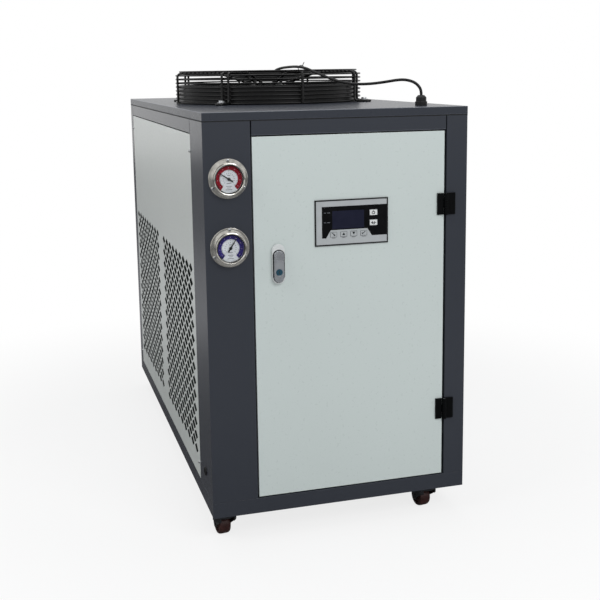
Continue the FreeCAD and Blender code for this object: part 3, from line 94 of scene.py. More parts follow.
def add_camera():
    """The camera that took the photograph, fitted to the cabinet's edges."""
    forward = Vector((
        math.sin(HORIZONTAL_TURN) * math.cos(DOWNWARD_TILT),
        math.cos(HORIZONTAL_TURN) * math.cos(DOWNWARD_TILT),
        math.sin(DOWNWARD_TILT),
    ))
    right = forward.cross(Vector((0, 0, 1))).normalized()
    up = right.cross(forward)
    across = right * math.cos(ROLL) + up * math.sin(ROLL)
    upward = up * math.cos(ROLL) - right * math.sin(ROLL)
    data = bpy.data.cameras.new("camera")
    data.sensor_width = SENSOR
    data.lens = FOCAL_PIXELS * SENSOR / IMAGE
    data.shift_y = -(IMAGE / 2 - CENTRE_ROW) / IMAGE
    data.clip_end = 50.0
    camera = new_item("camera", data)
    turn = Matrix((across, upward, -forward)).transposed()
    camera.matrix_world = Matrix.Translation(CAMERA_PLACE) @ turn.to_4x4()
    bpy.context.scene.camera = camera


# Materials

def linear(red, green, blue):
    """A screen colour, 0 to 255, as linear values."""
    def channel(value):
        share = value / 255
        return share / 12.92 if share <= 0.04045 else ((share + 0.055) / 1.055) ** 2.4
    return (channel(red), channel(green), channel(blue), 1.0)


def add_node(tree, kind, values=None, links=None):
    """A shader node with values and links given by the names of its inputs."""
    node = tree.nodes.new("ShaderNode" + kind)
    for name, value in (values or {}).items():
        node.inputs[name].default_value = value
    for name, output in (links or {}).items():
        tree.links.new(output, node.inputs[name])
    return node


def ramp(tree, factor, stops):
    """Colours along a factor; each stop is (place, colour)."""
    node = add_node(tree, "ValToRGB", links={"Fac": factor})
    while len(node.color_ramp.elements) < len(stops):
        node.color_ramp.elements.new(0.5)
    for element, (place, colour) in zip(node.color_ramp.elements, stops):
        element.position = place
        element.color = colour
    return node.outputs["Color"]


def shade(colour, factor):
    return tuple(min(1.0, value * factor) for value in colour[:3]) + (1.0,)


class Paint:
    """A material being built: its shader and a few node helpers."""

    def __init__(self, name):
        self.material = bpy.data.materials.new(name)
        self.material.use_nodes = True
        self.tree = self.material.node_tree
        self.shader = self.tree.nodes["Principled BSDF"]
        self.place = self.tree.nodes.new("ShaderNodeTexCoord").outputs["Object"]

    def set(self, **values):
        for name, value in values.items():
            self.shader.inputs[name.replace("_", " ")].default_value = value
        return self

    def noise(self, scale, detail=3.0, stretch=(1, 1, 1)):
        mapping = add_node(self.tree, "Mapping", {"Scale": stretch}, {"Vector": self.place})
        values = {"Scale": scale, "Detail": detail, "Roughness": 0.5}
        node = add_node(self.tree, "TexNoise", values, {"Vector": mapping.outputs["Vector"]})
        return node.outputs["Fac"]

    def tones(self, factor, dark, light, start=0.3):
        """The base colour, from a dark to a light tone along a noise."""
        colours = ramp(self.tree, factor, [(start, dark), (1 - start, light)])
        self.tree.links.new(colours, self.shader.inputs["Base Color"])

    def uneven(self, factor, colour, variety, start=0.3):
        self.tones(factor, shade(colour, 1 - variety), shade(colour, 1 + variety), start)

    def rough(self, factor, low, high):
        values = {"From Min": 0.3, "From Max": 0.7, "To Min": low, "To Max": high}
        node = add_node(self.tree, "MapRange", values, {"Value": factor})
        self.tree.links.new(node.outputs["Result"], self.shader.inputs["Roughness"])

    def bump(self, height, strength=0.1, distance=0.0002):
        values = {"Strength": strength, "Distance": distance}
        node = add_node(self.tree, "Bump", values, {"Height": height})
        self.tree.links.new(node.outputs["Normal"], self.shader.inputs["Normal"])


def coated(name, colour, rough=(0.32, 0.42), variety=0.04, peel=0.06, peel_scale=900.0, gloss=0.5):
    """Sheet metal with a powder coat: fine orange peel, slightly uneven tone and gloss."""
    paint = Paint(name)
    paint.uneven(paint.noise(2.2, 2.0), colour, variety)
    paint.rough(paint.noise(160.0, 4.0), *rough)
    paint.bump(paint.noise(peel_scale, 2.0), peel)
    return paint.set(Specular_IOR_Level=gloss).material


def metal(
    name, colour, rough=(0.2, 0.35), stretch=(1, 1, 40), grain=260.0, variety=0.08, bump=0.05, bare=1.0,
):
    """Bare or plated metal with a drawn or turned grain."""
    paint = Paint(name)
    grain_noise = paint.noise(grain, 4.0, stretch)
    paint.uneven(grain_noise, colour, variety, 0.25)
    paint.rough(paint.noise(30.0, 3.0), *rough)
    paint.bump(grain_noise, bump, 0.0001)
    return paint.set(Metallic=bare).material


def moulded(name, colour, rough=(0.35, 0.5), variety=0.08, scale=700.0, bump=0.08, gloss=0.5):
    """Moulded plastic or rubber with a fine texture."""
    paint = Paint(name)
    fine = paint.noise(scale, 3.0)
    paint.uneven(paint.noise(60.0, 3.0), colour, variety)
    paint.rough(fine, *rough)
    paint.bump(fine, bump)
    return paint.set(Specular_IOR_Level=gloss).material


def finned(name):
    """Dull aluminium with a faint green oxide and dust."""
    paint = Paint(name)
    paint.tones(paint.noise(9.0, 4.0, (1, 1, 0.4)), linear(38, 45, 44), linear(62, 70, 67), 0.25)
    paint.rough(paint.noise(220.0, 3.0), 0.4, 0.6)
    return paint.set(Metallic=0.15, Specular_IOR_Level=0.1).material


def clear(name, tint=(0.95, 0.97, 0.98, 1.0), roughness=0.02):
    """Clear glass with a faint tint."""
    paint = Paint(name)
    paint.tones(paint.noise(40.0, 2.0), shade(tint, 0.97), tint)
    paint.rough(paint.noise(90.0, 2.0), roughness, roughness + 0.02)
    return paint.set(Transmission_Weight=1.0, IOR=1.25).material


def foam(name):
    """Dark open-celled foam."""
    paint = Paint(name)
    cells = paint.noise(320.0, 5.0)
    paint.tones(cells, linear(28, 28, 30), linear(54, 54, 58))
    paint.rough(cells, 0.8, 1.0)
    paint.bump(cells, 0.5, 0.001)
    return paint.material


SLATE = linear(54, 57, 64)
PALE = linear(196, 205, 203)
PALE_SIDE = linear(197, 201, 198)

MATERIALS = {
    "frame_paint": coated("slate_coat", SLATE, (0.25, 0.27), 0.03, 0.004, gloss=0.16),
    "panel_paint": coated("pale_coat", PALE_SIDE, (0.3, 0.4), 0.02, 0.05),
    "zinc": metal("zinc_plate", linear(172, 174, 176), (0.25, 0.4), (1, 1, 1), 60.0),
    "foam": foam("sound_foam"),
    "black_wire": coated("black_coat", linear(12, 12, 13), (0.3, 0.42), 0.15, 0.05, gloss=0.25),
    "black_plastic": moulded("black_moulding", linear(16, 16, 18), (0.3, 0.45), gloss=0.25),
    "hinge_black": coated("hinge_black", linear(5, 6, 7), (0.3, 0.42), 0.1, 0.1, 500.0, 0.07),
    "lock_metal": metal("satin_chrome", linear(178, 182, 186), (0.22, 0.34), (1, 1, 1), 90.0, 0.04),
    "plug_dark": moulded("plug_blue", linear(34, 70, 86), (0.25, 0.35), 0.1, 500.0, 0.05, gloss=0.25),
    "overlay": moulded("overlay_silver", linear(168, 172, 174), (0.3, 0.4), 0.03, 900.0, 0.03),
    "display": moulded("display_dark", linear(29, 31, 47), (0.12, 0.2), 0.06, 60.0, 0.0, gloss=0.14),
    "gauge_steel": metal(
        "gauge_steel", linear(176, 174, 168), (0.08, 0.2), (1, 1, 1), 70.0, 0.34, 0.05, 0.84,
    ),
    "dial": coated("dial_white", linear(232, 233, 236), (0.4, 0.5), 0.01, 0.0),
    "clear_glass": clear("gauge_glass"),
    "pointer": coated("pointer_black", linear(22, 22, 26), (0.4, 0.5), 0.05, 0.0),
    "black_rubber": moulded("black_rubber", linear(14, 14, 15), (0.5, 0.7), gloss=0.25),
    "wheel_rubber": moulded("maroon_rubber", linear(54, 30, 28), (0.3, 0.5), 0.35, gloss=0.25),
    "coil": finned("coil_fins"),
    "compressor_paint": coated("compressor_black", linear(20, 20, 22), (0.18, 0.28), 0.05, 0.15, 300.0),
    "stainless": metal("stainless", linear(186, 188, 190), (0.2, 0.34), (30, 1, 1), 140.0),
    "pump_paint": coated("pump_blue", linear(32, 74, 122), (0.25, 0.38), 0.06, 0.2, 260.0),
    "board_paint": coated("board_cream", linear(206, 200, 182), (0.4, 0.5)),
    "electrical": moulded("breaker_grey", linear(196, 198, 196), (0.4, 0.5), 0.03),
    "copper": metal("copper", linear(190, 118, 84), (0.2, 0.34), (1, 1, 1), 30.0, 0.12),
    "pipe_grey": moulded("pipe_grey", linear(112, 118, 124), (0.35, 0.45), 0.04),
    "brass_fitting": metal("brass", linear(192, 160, 92), (0.15, 0.3), (1, 40, 1), 120.0),
    "fan_paint": coated("fan_black", linear(16, 17, 18), (0.35, 0.5), 0.1, 0.1, gloss=0.3),
    "fork_steel": metal("fork_steel", linear(78, 79, 82), (0.2, 0.34), (1, 1, 1), 60.0, 0.2),
    "grey_print": coated("grey_print", linear(92, 96, 102), (0.4, 0.5), 0.03, 0.0),
    "gloss_black": moulded("window_black", linear(9, 10, 12), (0.18, 0.26), 0.1, 60.0, 0.0, gloss=0.12),
    "key_print": coated("key_print", linear(30, 31, 35), (0.4, 0.5), 0.03, 0.0, gloss=0.2),
    "scale_print": coated("scale_print", linear(206, 188, 196), (0.4, 0.5), 0.02, 0.0),
    "white_key": moulded("white_key", linear(214, 216, 216), (0.35, 0.45), 0.02, 900.0, 0.03),
    "motor": coated("motor_black", linear(24, 25, 26), (0.35, 0.5), 0.1, 0.3, 240.0, 0.3),
}
DOOR_COAT = coated("door_coat", PALE, (0.26, 0.36), 0.015, 0.03)
LID_COAT = coated("lid_coat", SLATE, (0.26, 0.34), 0.03, 0.008, gloss=0.12)
# Painted highlight: the slate made 2.6 times lighter and glossier, put on rounded edges to stand for a
# bright line of light along them
PAINTED_HIGHLIGHT_COAT = coated("painted_highlight_coat", shade(SLATE, 2.6), (0.3, 0.38), 0.03, 0.008, gloss=0.9)
LOCK_CASE = coated("lock_silver", linear(206, 209, 209), (0.25, 0.35), 0.02, 0.02)
SLOT_OF = {row["node"]: row["material_slot"] for row in frame["record"]["subparts"]}


def give_cad_nodes_materials():
    """Each node's material by its slot, with a coat of their own for door and lid."""
    for name, item in NODES.items():
        item.data.materials.clear()
        item.data.materials.append(MATERIALS[SLOT_OF[name]])
    NODES["door_skin"].data.materials[0] = DOOR_COAT
    NODES["lid"].data.materials[0] = LID_COAT


# Mesh helpers

def add_mesh(name, vertices, faces, material, body, smooth_angle=30.0):
    mesh = bpy.data.meshes.new(name)
    mesh.from_pydata([tuple(vertex) for vertex in vertices], [], faces)
    mesh.validate()
    item = new_item(name, mesh)
    finish_mesh(item, smooth_angle)
    mesh.materials.append(material)
    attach(item, body)
    return item


def finish_mesh(item, smooth_angle=30.0):
    """Faces turned outward and shaded smooth, apart from sharp edges."""
    mesh = item.data
    work = bmesh.new()
    work.from_mesh(mesh)
    bmesh.ops.recalc_face_normals(work, faces=work.faces)
    work.to_mesh(mesh)
    work.free()
    mesh.shade_smooth()
    mesh.set_sharp_from_angle(angle=math.radians(smooth_angle))


def build(work, name, material, body, smooth=True):
    """Turn a worked form into a piece that rides a body."""
    mesh = bpy.data.meshes.new(name)
    work.to_mesh(mesh)
    work.free()
    item = new_item(name, mesh)
    if smooth:
        finish_mesh(item)
    mesh.materials.append(material)
    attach(item, body)
    return item


def rounded_edges(work, edges, offset, segments, material=-1):
    """Edges of a worked form rounded, with a material of their own if one is given."""
    bmesh.ops.bevel(
        work, geom=edges, offset=offset, offset_type="OFFSET", segments=segments, profile=0.5,
        affect="EDGES", clamp_overlap=True, material=material,
    )


def frame_of(axis):
    """Two directions square to an axis."""
    axis = Vector(axis).normalized()
    helper = Vector((0, 0, 1)) if abs(axis.z) < 0.9 else Vector((1, 0, 0))
    first = helper.cross(axis).normalized()
    return first, axis.cross(first), axis


def lathe(name, profile, place, axis, material, body, segments=64, smooth_angle=30.0):
    """A turned form: profile is (radius, height) in metres from the place along the axis."""
    first, second, along = frame_of(axis)
    place = Vector(place)
    vertices = []
    faces = []
    rows = []
    for radius, height in profile:
        if radius < 1e-7:
            rows.append([len(vertices)] * segments)
            vertices.append(place + along * height)
            continue
        row = []
        for index in range(segments):
            angle = 2 * math.pi * index / segments
            row.append(len(vertices))
            spoke = first * math.cos(angle) + second * math.sin(angle)
            vertices.append(place + along * height + spoke * radius)
        rows.append(row)
    for upper, lower in zip(rows, rows[1:]):
        for index in range(segments):
            following = (index + 1) % segments
            face = [upper[index], upper[following], lower[following], lower[index]]
            face = list(dict.fromkeys(face))
            if len(face) > 2:
                faces.append(face)
    return add_mesh(name, vertices, faces, material, body, smooth_angle)


# Angle between two faces from which their edge is rounded
SHARP_EDGE = math.radians(30)


def dress(node, bevel=0.0008, segments=2, shortest=0.004, material=None, highlight_material=None):
    """A node's own form with its sharp edges rounded, standing for the node; a highlight material, if
    given, goes on the rounded faces as a painted highlight.
    """
    source = NODES[node]
    mesh = source.data.copy()
    mesh.name = node + "_dressed"
    item = new_item(node + "_dressed", mesh)
    mesh.materials.clear()
    mesh.materials.append(material or source.data.materials[0])
    if highlight_material:
        mesh.materials.append(highlight_material)
    work = bmesh.new()
    work.from_mesh(mesh)
    bmesh.ops.remove_doubles(work, verts=work.verts, dist=1e-6)
    bmesh.ops.dissolve_limit(
        work, angle_limit=math.radians(1.0), verts=work.verts, edges=work.edges,
    )
    sharp = [
        edge for edge in work.edges
        if len(edge.link_faces) == 2
        and edge.calc_face_angle(0) > SHARP_EDGE
        and edge.calc_length() > shortest
    ]
    rounded_edges(work, sharp, bevel, segments, 1 if highlight_material else -1)
    work.to_mesh(mesh)
    work.free()
    mesh.shade_smooth()
    mesh.set_sharp_from_angle(angle=math.radians(35))
    even = item.modifiers.new("even_normals", "WEIGHTED_NORMAL")
    even.weight = 100
    even.keep_sharp = True
    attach(item, BODY_OF[node])
    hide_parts(node)
    return item


def separate_solids(node):
    """The lowest and highest corner of each separate solid in a node."""
    work = bmesh.new()
    work.from_mesh(NODES[node].data)
    bmesh.ops.remove_doubles(work, verts=work.verts, dist=1e-6)
    left = set(work.verts)
    found = []
    while left:
        group = [left.pop()]
        for vertex in group:
            for edge in vertex.link_edges:
                other = edge.other_vert(vertex)
                if other in left:
                    left.remove(other)
                    group.append(other)
        places = [vertex.co for vertex in group]
        low = Vector([min(place[axis] for place in places) for axis in range(3)])
        high = Vector([max(place[axis] for place in places) for axis in range(3)])
        found.append((low, high))
    work.free()
    return sorted(found, key=lambda corners: tuple(round(value, 4) for value in corners[0]))


# Thickness of a printed shape
PRINT = 0.0001


def front_faces(name, outlines, y, depth, material, body, bevel=0.0):
    """Flat shapes that face the front: outlines are (x, z) lists, extruded back from y."""
    work = bmesh.new()
    for outline in outlines:
        near = [work.verts.new((x, y, z)) for x, z in outline]
        far = [work.verts.new((x, y + depth, z)) for x, z in outline]
        work.faces.new(near)
        work.faces.new(far[::-1])
        for index in range(len(outline)):
            after = (index + 1) % len(outline)
            work.faces.new((near[index], far[index], far[after], near[after]))
    if bevel:
        rim = [edge for edge in work.edges if all(vertex.co.y < y + depth / 2 for vertex in edge.verts)]
        rounded_edges(work, rim, bevel, 3)
    return build(work, name, material, body)


def block_piece(name, blocks, material, body):
    """Plain boxes, each between its lowest and its highest corner."""
    work = bmesh.new()
    for low, high in blocks:
        box = bmesh.ops.create_cube(work, size=1.0)["verts"]
        bmesh.ops.scale(work, vec=Vector(high) - Vector(low), verts=box)
        bmesh.ops.translate(work, vec=(Vector(high) + Vector(low)) / 2, verts=box)
    return build(work, name, material, body, False)


def rounded_box(x0, z0, x1, z1, radius, steps=5):
    """Outline of a rectangle with rounded corners."""
    outline = []
    for cx, cz, start in (
        (x1 - radius, z0 + radius, -90),
        (x1 - radius, z1 - radius, 0),
        (x0 + radius, z1 - radius, 90),
        (x0 + radius, z0 + radius, 180),
    ):
        for step in range(steps + 1):
            angle = math.radians(start + 90 * step / steps)
            outline.append((cx + radius * math.cos(angle), cz + radius * math.sin(angle)))
    return outline


def bar_outline(x0, z0, x1, z1, width):
    """A straight stroke from one point to another."""
    along = Vector((x1 - x0, z1 - z0)).normalized() * (width / 2)
    return [
        (x0 + along.y, z0 - along.x), (x1 + along.y, z1 - along.x),
        (x1 - along.y, z1 + along.x), (x0 - along.y, z0 + along.x),
    ]


def arc_band(cx, cz, inner, outer, start, end, steps=48):
    """Outline of a part of a ring, its ends given in degrees."""
    angles = [math.radians(start + (end - start) * step / steps) for step in range(steps + 1)]
    outside = [(cx + outer * math.cos(a), cz + outer * math.sin(a)) for a in angles]
    inside = [(cx + inner * math.cos(a), cz + inner * math.sin(a)) for a in reversed(angles)]
    return outside + inside


def box_frame(x0, z0, x1, z1, width):
    """Four strokes around a rectangle."""
    return [
        [(x0, z0), (x1, z0), (x1, z0 + width), (x0, z0 + width)],
        [(x0, z1 - width), (x1, z1 - width), (x1, z1), (x0, z1)],
        [(x0, z0 + width), (x0 + width, z0 + width), (x0 + width, z1 - width), (x0, z1 - width)],
        [(x1 - width, z0 + width), (x1, z0 + width), (x1, z1 - width), (x1 - width, z1 - width)],
    ]


def rounded_line(points, radius, steps=6):
    """A bent line with its corners rounded to a radius."""
    line = [Vector(points[0])]
    for before, here, after in zip(points, points[1:], points[2:]):
        before, here, after = Vector(before), Vector(here), Vector(after)
        into = (before - here).normalized()
        out = (after - here).normalized()
        half = into.angle(out) / 2
        if half > math.radians(89):
            line.append(here)
            continue
        reach = min(
            radius / math.tan(half), 0.45 * (before - here).length, 0.45 * (after - here).length,
        )
        bend = reach * math.tan(half)
        centre = here + (into + out).normalized() * (bend / math.sin(half))
        start = here + into * reach - centre
        end = here + out * reach - centre
        for step in range(steps + 1):
            share = step / steps
            spoke = (start * (1 - share) + end * share).normalized() * bend
            line.append(centre + spoke)
    line.append(Vector(points[-1]))
    return line


def wire_piece(name, lines, radius, material, body, sides=3):
    """Round wires along lines; each line is (points, closed)."""
    data = bpy.data.curves.new(name, "CURVE")
    data.dimensions = "3D"
    data.bevel_depth = radius
    data.bevel_resolution = sides
    data.use_fill_caps = True
    for points, closed in lines:
        spline = data.splines.new("POLY")
        spline.points.add(len(points) - 1)
        for target, point in zip(spline.points, points):
            target.co = (*point, 1.0)
        spline.use_cyclic_u = closed
        spline.use_smooth = True
    item = new_item(name, data)
    data.materials.append(material)
    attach(item, body)
    return item


def circle(centre, radius, count=96):
    """Points of a level circle."""
    return [
        Vector(centre) + Vector((math.cos(a), math.sin(a), 0)) * radius
        for a in (2 * math.pi * index / count for index in range(count))
    ]


# Stage and light

def shader_mix(tree, factor, first, second):
    mix = tree.nodes.new("ShaderNodeMixShader")
    tree.links.new(factor, mix.inputs["Fac"])
    tree.links.new(first, mix.inputs[1])
    tree.links.new(second, mix.inputs[2])
    return mix.outputs[0]


def maths(tree, operation, first, second):
    """A sum, product or the like of two outputs or numbers."""
    node = tree.nodes.new("ShaderNodeMath")
    node.operation = operation
    for socket, value in zip(node.inputs, (first, second)):
        if isinstance(value, float):
            socket.default_value = value
        else:
            tree.links.new(value, socket)
    return node.outputs[0]


def plain_shader(tree, kind, colour, strength=1.0):
    node = add_node(tree, kind, {"Color": colour, "Strength": strength})
    return node.outputs[0]


def rays(tree, *kinds):
    """1 for a ray of any of these kinds, 0 for the others."""
    path = tree.nodes.new("ShaderNodeLightPath")
    seen = path.outputs[kinds[0]]
    for kind in kinds[1:]:
        seen = maths(tree, "MAXIMUM", seen, path.outputs[kind])
    return seen


def emptied_tree(owner, output):
    """An owner's node tree with nothing in it but its output, and that output's input."""
    owner.use_nodes = True
    tree = owner.node_tree
    tree.nodes.clear()
    return tree, tree.nodes.new(output).inputs["Surface"]


WHITE = (1, 1, 1, 1)
AMBIENT_COLOUR = (0.95, 0.98, 1.0, 1)
AMBIENT = 0.4
FLOOR_COLOUR = (0.8, 0.8, 0.8, 1)
FLOOR_SIZE = 20.0
# How far the floor shows as plain white near the object, and where it becomes all white
FLOOR_WHITE = 0.8
FLOOR_FADE = (0.7, 1.7)
# The floor's tone in reflections, by distance in metres from the object: painted light and shade, dark near
# the object as a painted shadow, a bright ring as a painted pool of light, dimmer far off
FLOOR_REACH = 10.0
FLOOR_PAINTED_LIGHT_IN_GLOSS = ((0.4, 0.05), (1.0, 0.16), (1.6, 0.50), (2.6, 0.42), (4.0, 0.20), (6.0, 0.17), (9.0, 0.10))
GLOSS_SHARE = 0.9


def add_stage():
    """A pale floor that goes over into the white background away from the object, and that shows painted
    light and shade in reflections.
    """
    bpy.ops.mesh.primitive_plane_add(size=FLOOR_SIZE, location=(0, 0, 0))
    floor = bpy.context.object
    floor.name = "floor"
    material = bpy.data.materials.new("pale_floor")
    tree, surface = emptied_tree(material, "ShaderNodeOutputMaterial")
    matt = add_node(tree, "BsdfDiffuse", {"Color": FLOOR_COLOUR}).outputs[0]
    white = plain_shader(tree, "Emission", WHITE)
    coordinates = tree.nodes.new("ShaderNodeTexCoord")
    length = tree.nodes.new("ShaderNodeVectorMath")
    length.operation = "LENGTH"
    tree.links.new(coordinates.outputs["Object"], length.inputs[0])
    near, far = FLOOR_FADE
    values = {"From Min": near, "From Max": far, "To Min": FLOOR_WHITE, "To Max": 1.0}
    fade = add_node(tree, "MapRange", values, {"Value": length.outputs["Value"]})
    fade.interpolation_type = "SMOOTHSTEP"
    share = maths(
        tree, "MULTIPLY", rays(tree, "Is Camera Ray", "Is Transmission Ray"), fade.outputs["Result"],
    )
    pale = shader_mix(tree, share, matt, white)
    reach = maths(tree, "DIVIDE", length.outputs["Value"], FLOOR_REACH)
    tones = ramp(tree, reach, [
        (distance / FLOOR_REACH, (tone, tone, tone * 1.03, 1)) for distance, tone in FLOOR_PAINTED_LIGHT_IN_GLOSS
    ])
    mirrored_painted_floor = add_node(tree, "Emission", {"Strength": 1.0}, {"Color": tones}).outputs[0]
    mirrored = maths(tree, "MULTIPLY", rays(tree, "Is Glossy Ray"), GLOSS_SHARE)
    tree.links.new(shader_mix(tree, mirrored, pale, mirrored_painted_floor), surface)
    floor.data.materials.append(material)


def add_world():
    """A soft ambient light, seen as plain white by the camera and in reflections."""
    world = bpy.data.worlds.new("studio")
    bpy.context.scene.world = world
    tree, surface = emptied_tree(world, "ShaderNodeOutputWorld")
    ambient = plain_shader(tree, "Background", AMBIENT_COLOUR, AMBIENT)
    white = plain_shader(tree, "Background", WHITE)
    seen = rays(tree, "Is Camera Ray", "Is Transmission Ray", "Is Glossy Ray")
    tree.links.new(shader_mix(tree, seen, ambient, white), surface)


def add_lamp(name, place, target, size, power):
    """A rectangular lamp aimed at a point."""
    data = bpy.data.lights.new(name, "AREA")
    data.shape = "RECTANGLE"
    data.size = size[0]
    data.size_y = size[1]
    data.energy = power
    lamp = new_item(name, data)
    lamp.location = place
    lamp.rotation_euler = (Vector(target) - Vector(place)).to_track_quat("-Z", "Y").to_euler()


def add_lights():
    add_lamp("front_softbox", (1.0, -3.8, 3.1), (0, -0.3, 0.6), (2.6, 1.8), 84)
    add_lamp("left_softbox", (-3.0, -0.9, 2.9), (-0.2, 0, 0.7), (2.2, 1.6), 40)
    add_lamp("top_softbox", (0.2, 0.6, 3.4), (0, 0, 0.9), (2.6, 2.6), 30)


# Fan lead and its tie

LEAD_DIAMETER = 0.0066
# The lead's points in millimetres from the fan's centre on the lid's top
LEAD_POINTS = [
    (11, -14, 52.0), (11, -14, 64), (11, -20, 74.5), (11, -32, 82), (10.5, -50, 86), (10, -76, 88),
    (9, -110, 90.5), (10, -158, 92), (12, -205, 93), (15, -250, 92.5), (23, -285, 89),
    (35, -311, 80), (50, -336, 71), (68, -361, 61), (86, -385, 54), (104, -407, 50),
    (119, -425, 49.5), (136, -444, 50.5), (153, -463, 53), (168, -479, 56), (180, -491.5, 58.5),
    (192, -503, 59.5), (203, -511.5, 57.5), (213.5, -519.5, 53), (222, -524.5, 44.5),
    (227, -527, 34), (227, -527, 24.0),
]


def add_fan_lead():
    points = [FAN + Vector(point) * MM for point in LEAD_POINTS]
    data = bpy.data.curves.new("fan_lead_cable", "CURVE")
    data.dimensions = "3D"
    data.bevel_depth = LEAD_DIAMETER / 2
    data.bevel_resolution = 5
    data.use_fill_caps = True
    spline = data.splines.new("NURBS")
    spline.points.add(len(points) - 1)
    for target, point in zip(spline.points, points):
        target.co = (*point, 1.0)
    spline.order_u = 3
    spline.use_endpoint_u = True
    spline.resolution_u = 12
    item = new_item("fan_lead_cable", data)
    data.materials.append(MATERIALS["black_rubber"])
    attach(item, "root")
    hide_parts("fan_lead")


# Fan guard

_, guard_high = corner("fan_guard")
guard_bolt_corners = separate_solids("guard_bolts")
WIRE = 0.0042
RIB = 0.0060
RIB_HEIGHT = guard_high.z - LID_TOP - 0.0037
GUARD_RADIUS = 0.257
SIDE_RINGS = 9
SIDE_PITCH = 0.010
TOP_RING = guard_high.z - LID_TOP - 0.00235
TOP_RINGS = 17
TOP_RING_INSET = 0.015
SMALLEST_RING = 0.060
RIB_TURN = 5.4
RIB_SPACING = 0.018
RIB_CORNER = 0.010
FOOT = 0.040
DISH_RADIUS = 0.140
DISH_DROP = 0.0015
HUB_EDGE = 0.049
HUB_HEIGHT = 0.0484


def turn_about_fan(point, degrees):
    """A point (radial, sideways, up) from the fan's centre, turned about its axis."""
    angle = math.radians(degrees)
    radial, sideways, up = point
    return FAN + Vector((
        radial * math.cos(angle) - sideways * math.sin(angle),
        radial * math.sin(angle) + sideways * math.cos(angle),
        up,
    ))


def rib_profile():
    """A rib as (radius, height): from the hub over the dished top and down the side."""
    radius = GUARD_RADIUS - RIB / 2
    top = RIB_HEIGHT - RIB / 2
    return [
        (HUB_EDGE, HUB_HEIGHT),
        (DISH_RADIUS, top - DISH_DROP),
        (radius, top),
        (radius, RIB / 2),
    ]


def top_height(radius):
    """Height of the ribs at a radius, without the rounding at their corners."""
    (hub, hub_top), (dish, dish_top), (outer, top), _ = rib_profile()
    if radius >= dish:
        return dish_top + (radius - dish) / (outer - dish) * (top - dish_top)
    return hub_top + (radius - hub) / (dish - hub) * (dish_top - hub_top)


def hairpin(half):
    """One wire: hub, top, side, foot and back up, in (radial, sideways, up)."""
    profile = rib_profile()
    end = GUARD_RADIUS + FOOT - RIB / 2
    out = [(radius, -half, height) for radius, height in profile]
    foot = [(end, -half, RIB / 2), (end, half, RIB / 2)]
    return rounded_line(out + foot + [(x, -y, z) for x, y, z in reversed(out)], RIB_CORNER)


def add_guard():
    """Side rings, rings over the top, four single ribs and four wire pairs with feet."""
    rings = []
    outer = GUARD_RADIUS - RIB / 2
    nest = 0.45 * (WIRE + RIB)
    for index in range(1, SIDE_RINGS):
        height = TOP_RING - index * SIDE_PITCH
        rings.append((circle(FAN + Vector((0, 0, height)), outer - nest), True))
    widest = outer - TOP_RING_INSET
    for index in range(TOP_RINGS):
        radius = SMALLEST_RING + (widest - SMALLEST_RING) * index / (TOP_RINGS - 1)
        rings.append((circle(FAN + Vector((0, 0, top_height(radius) + nest)), radius), True))
    ribs = []
    for index in range(4):
        angle = RIB_TURN + 90 * index
        single = rounded_line([(radius, 0, height) for radius, height in rib_profile()], RIB_CORNER)
        ribs.append(([turn_about_fan(point, angle) for point in single], False))
        pair = hairpin(RIB_SPACING / 2)
        ribs.append(([turn_about_fan(point, angle + 45) for point in pair], False))
    for name, lines, width in (("guard_rings", rings, WIRE), ("guard_ribs", ribs, RIB)):
        wires = wire_piece(name, lines, width / 2, MATERIALS["black_wire"], "root")
        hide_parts("fan_guard")


BOLT_RADIUS = 0.0076
WASHER_THICKNESS = 0.0016
WASHER_PROFILE = [
    (0, 0), (0.0105, 0), (0.011, 0.0004), (0.011, 0.0012), (0.0104, WASHER_THICKNESS),
    (0, WASHER_THICKNESS),
]


def add_guard_bolts():
    """Plated hex bolts with washers, one on each foot of the guard."""
    for index, (low, high) in enumerate(guard_bolt_corners):
        centre = Vector(((low.x + high.x) / 2, (low.y + high.y) / 2, LID_TOP + RIB))
        washer = lathe(
            f"guard_washer_{index}", WASHER_PROFILE, centre, (0, 0, 1), MATERIALS["zinc"], "root", 40,
        )
        seat = centre + Vector((0, 0, WASHER_THICKNESS))
        head = hex_head(f"guard_bolt_{index}", seat, BOLT_RADIUS, high.z - centre.z - WASHER_THICKNESS)
        if index == 0:
            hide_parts("guard_bolts")


def hex_head(name, place, radius, height):
    """A six-sided head with a small taper at its top."""
    work = bmesh.new()
    turn = random.Random(name).uniform(0, 1)
    rows = []
    for share, level in ((1.0, 0.0), (1.0, height * 0.82), (0.86, height)):
        ring = []
        for index in range(6):
            angle = turn + math.pi * index / 3
            at = place + Vector((math.cos(angle), math.sin(angle), 0)) * radius * share
            ring.append(work.verts.new(at + Vector((0, 0, level))))
        rows.append(ring)
    for lower, upper in zip(rows, rows[1:]):
        for index in range(6):
            after = (index + 1) % 6
            work.faces.new((lower[index], lower[after], upper[after], upper[index]))
    work.faces.new(rows[0][::-1])
    work.faces.new(rows[-1])
    rounded_edges(work, list(work.edges), 0.0004, 2)
    return build(work, name, MATERIALS["zinc"], "root")


# Condenser coil

FIN_PITCH = 0.0024
FIN_THICKNESS = 0.0003
END_PLATE = 0.002
PLATE_OVER = 0.010
PLATE_RISE = 0.024
TUBE_ROWS = 25
TUBE_COLUMNS = (0.25, 0.75)
TUBE_RADIUS = 0.0035
TUBE_OVER = 0.0015
TUBE_BEND_REACH = 0.0065


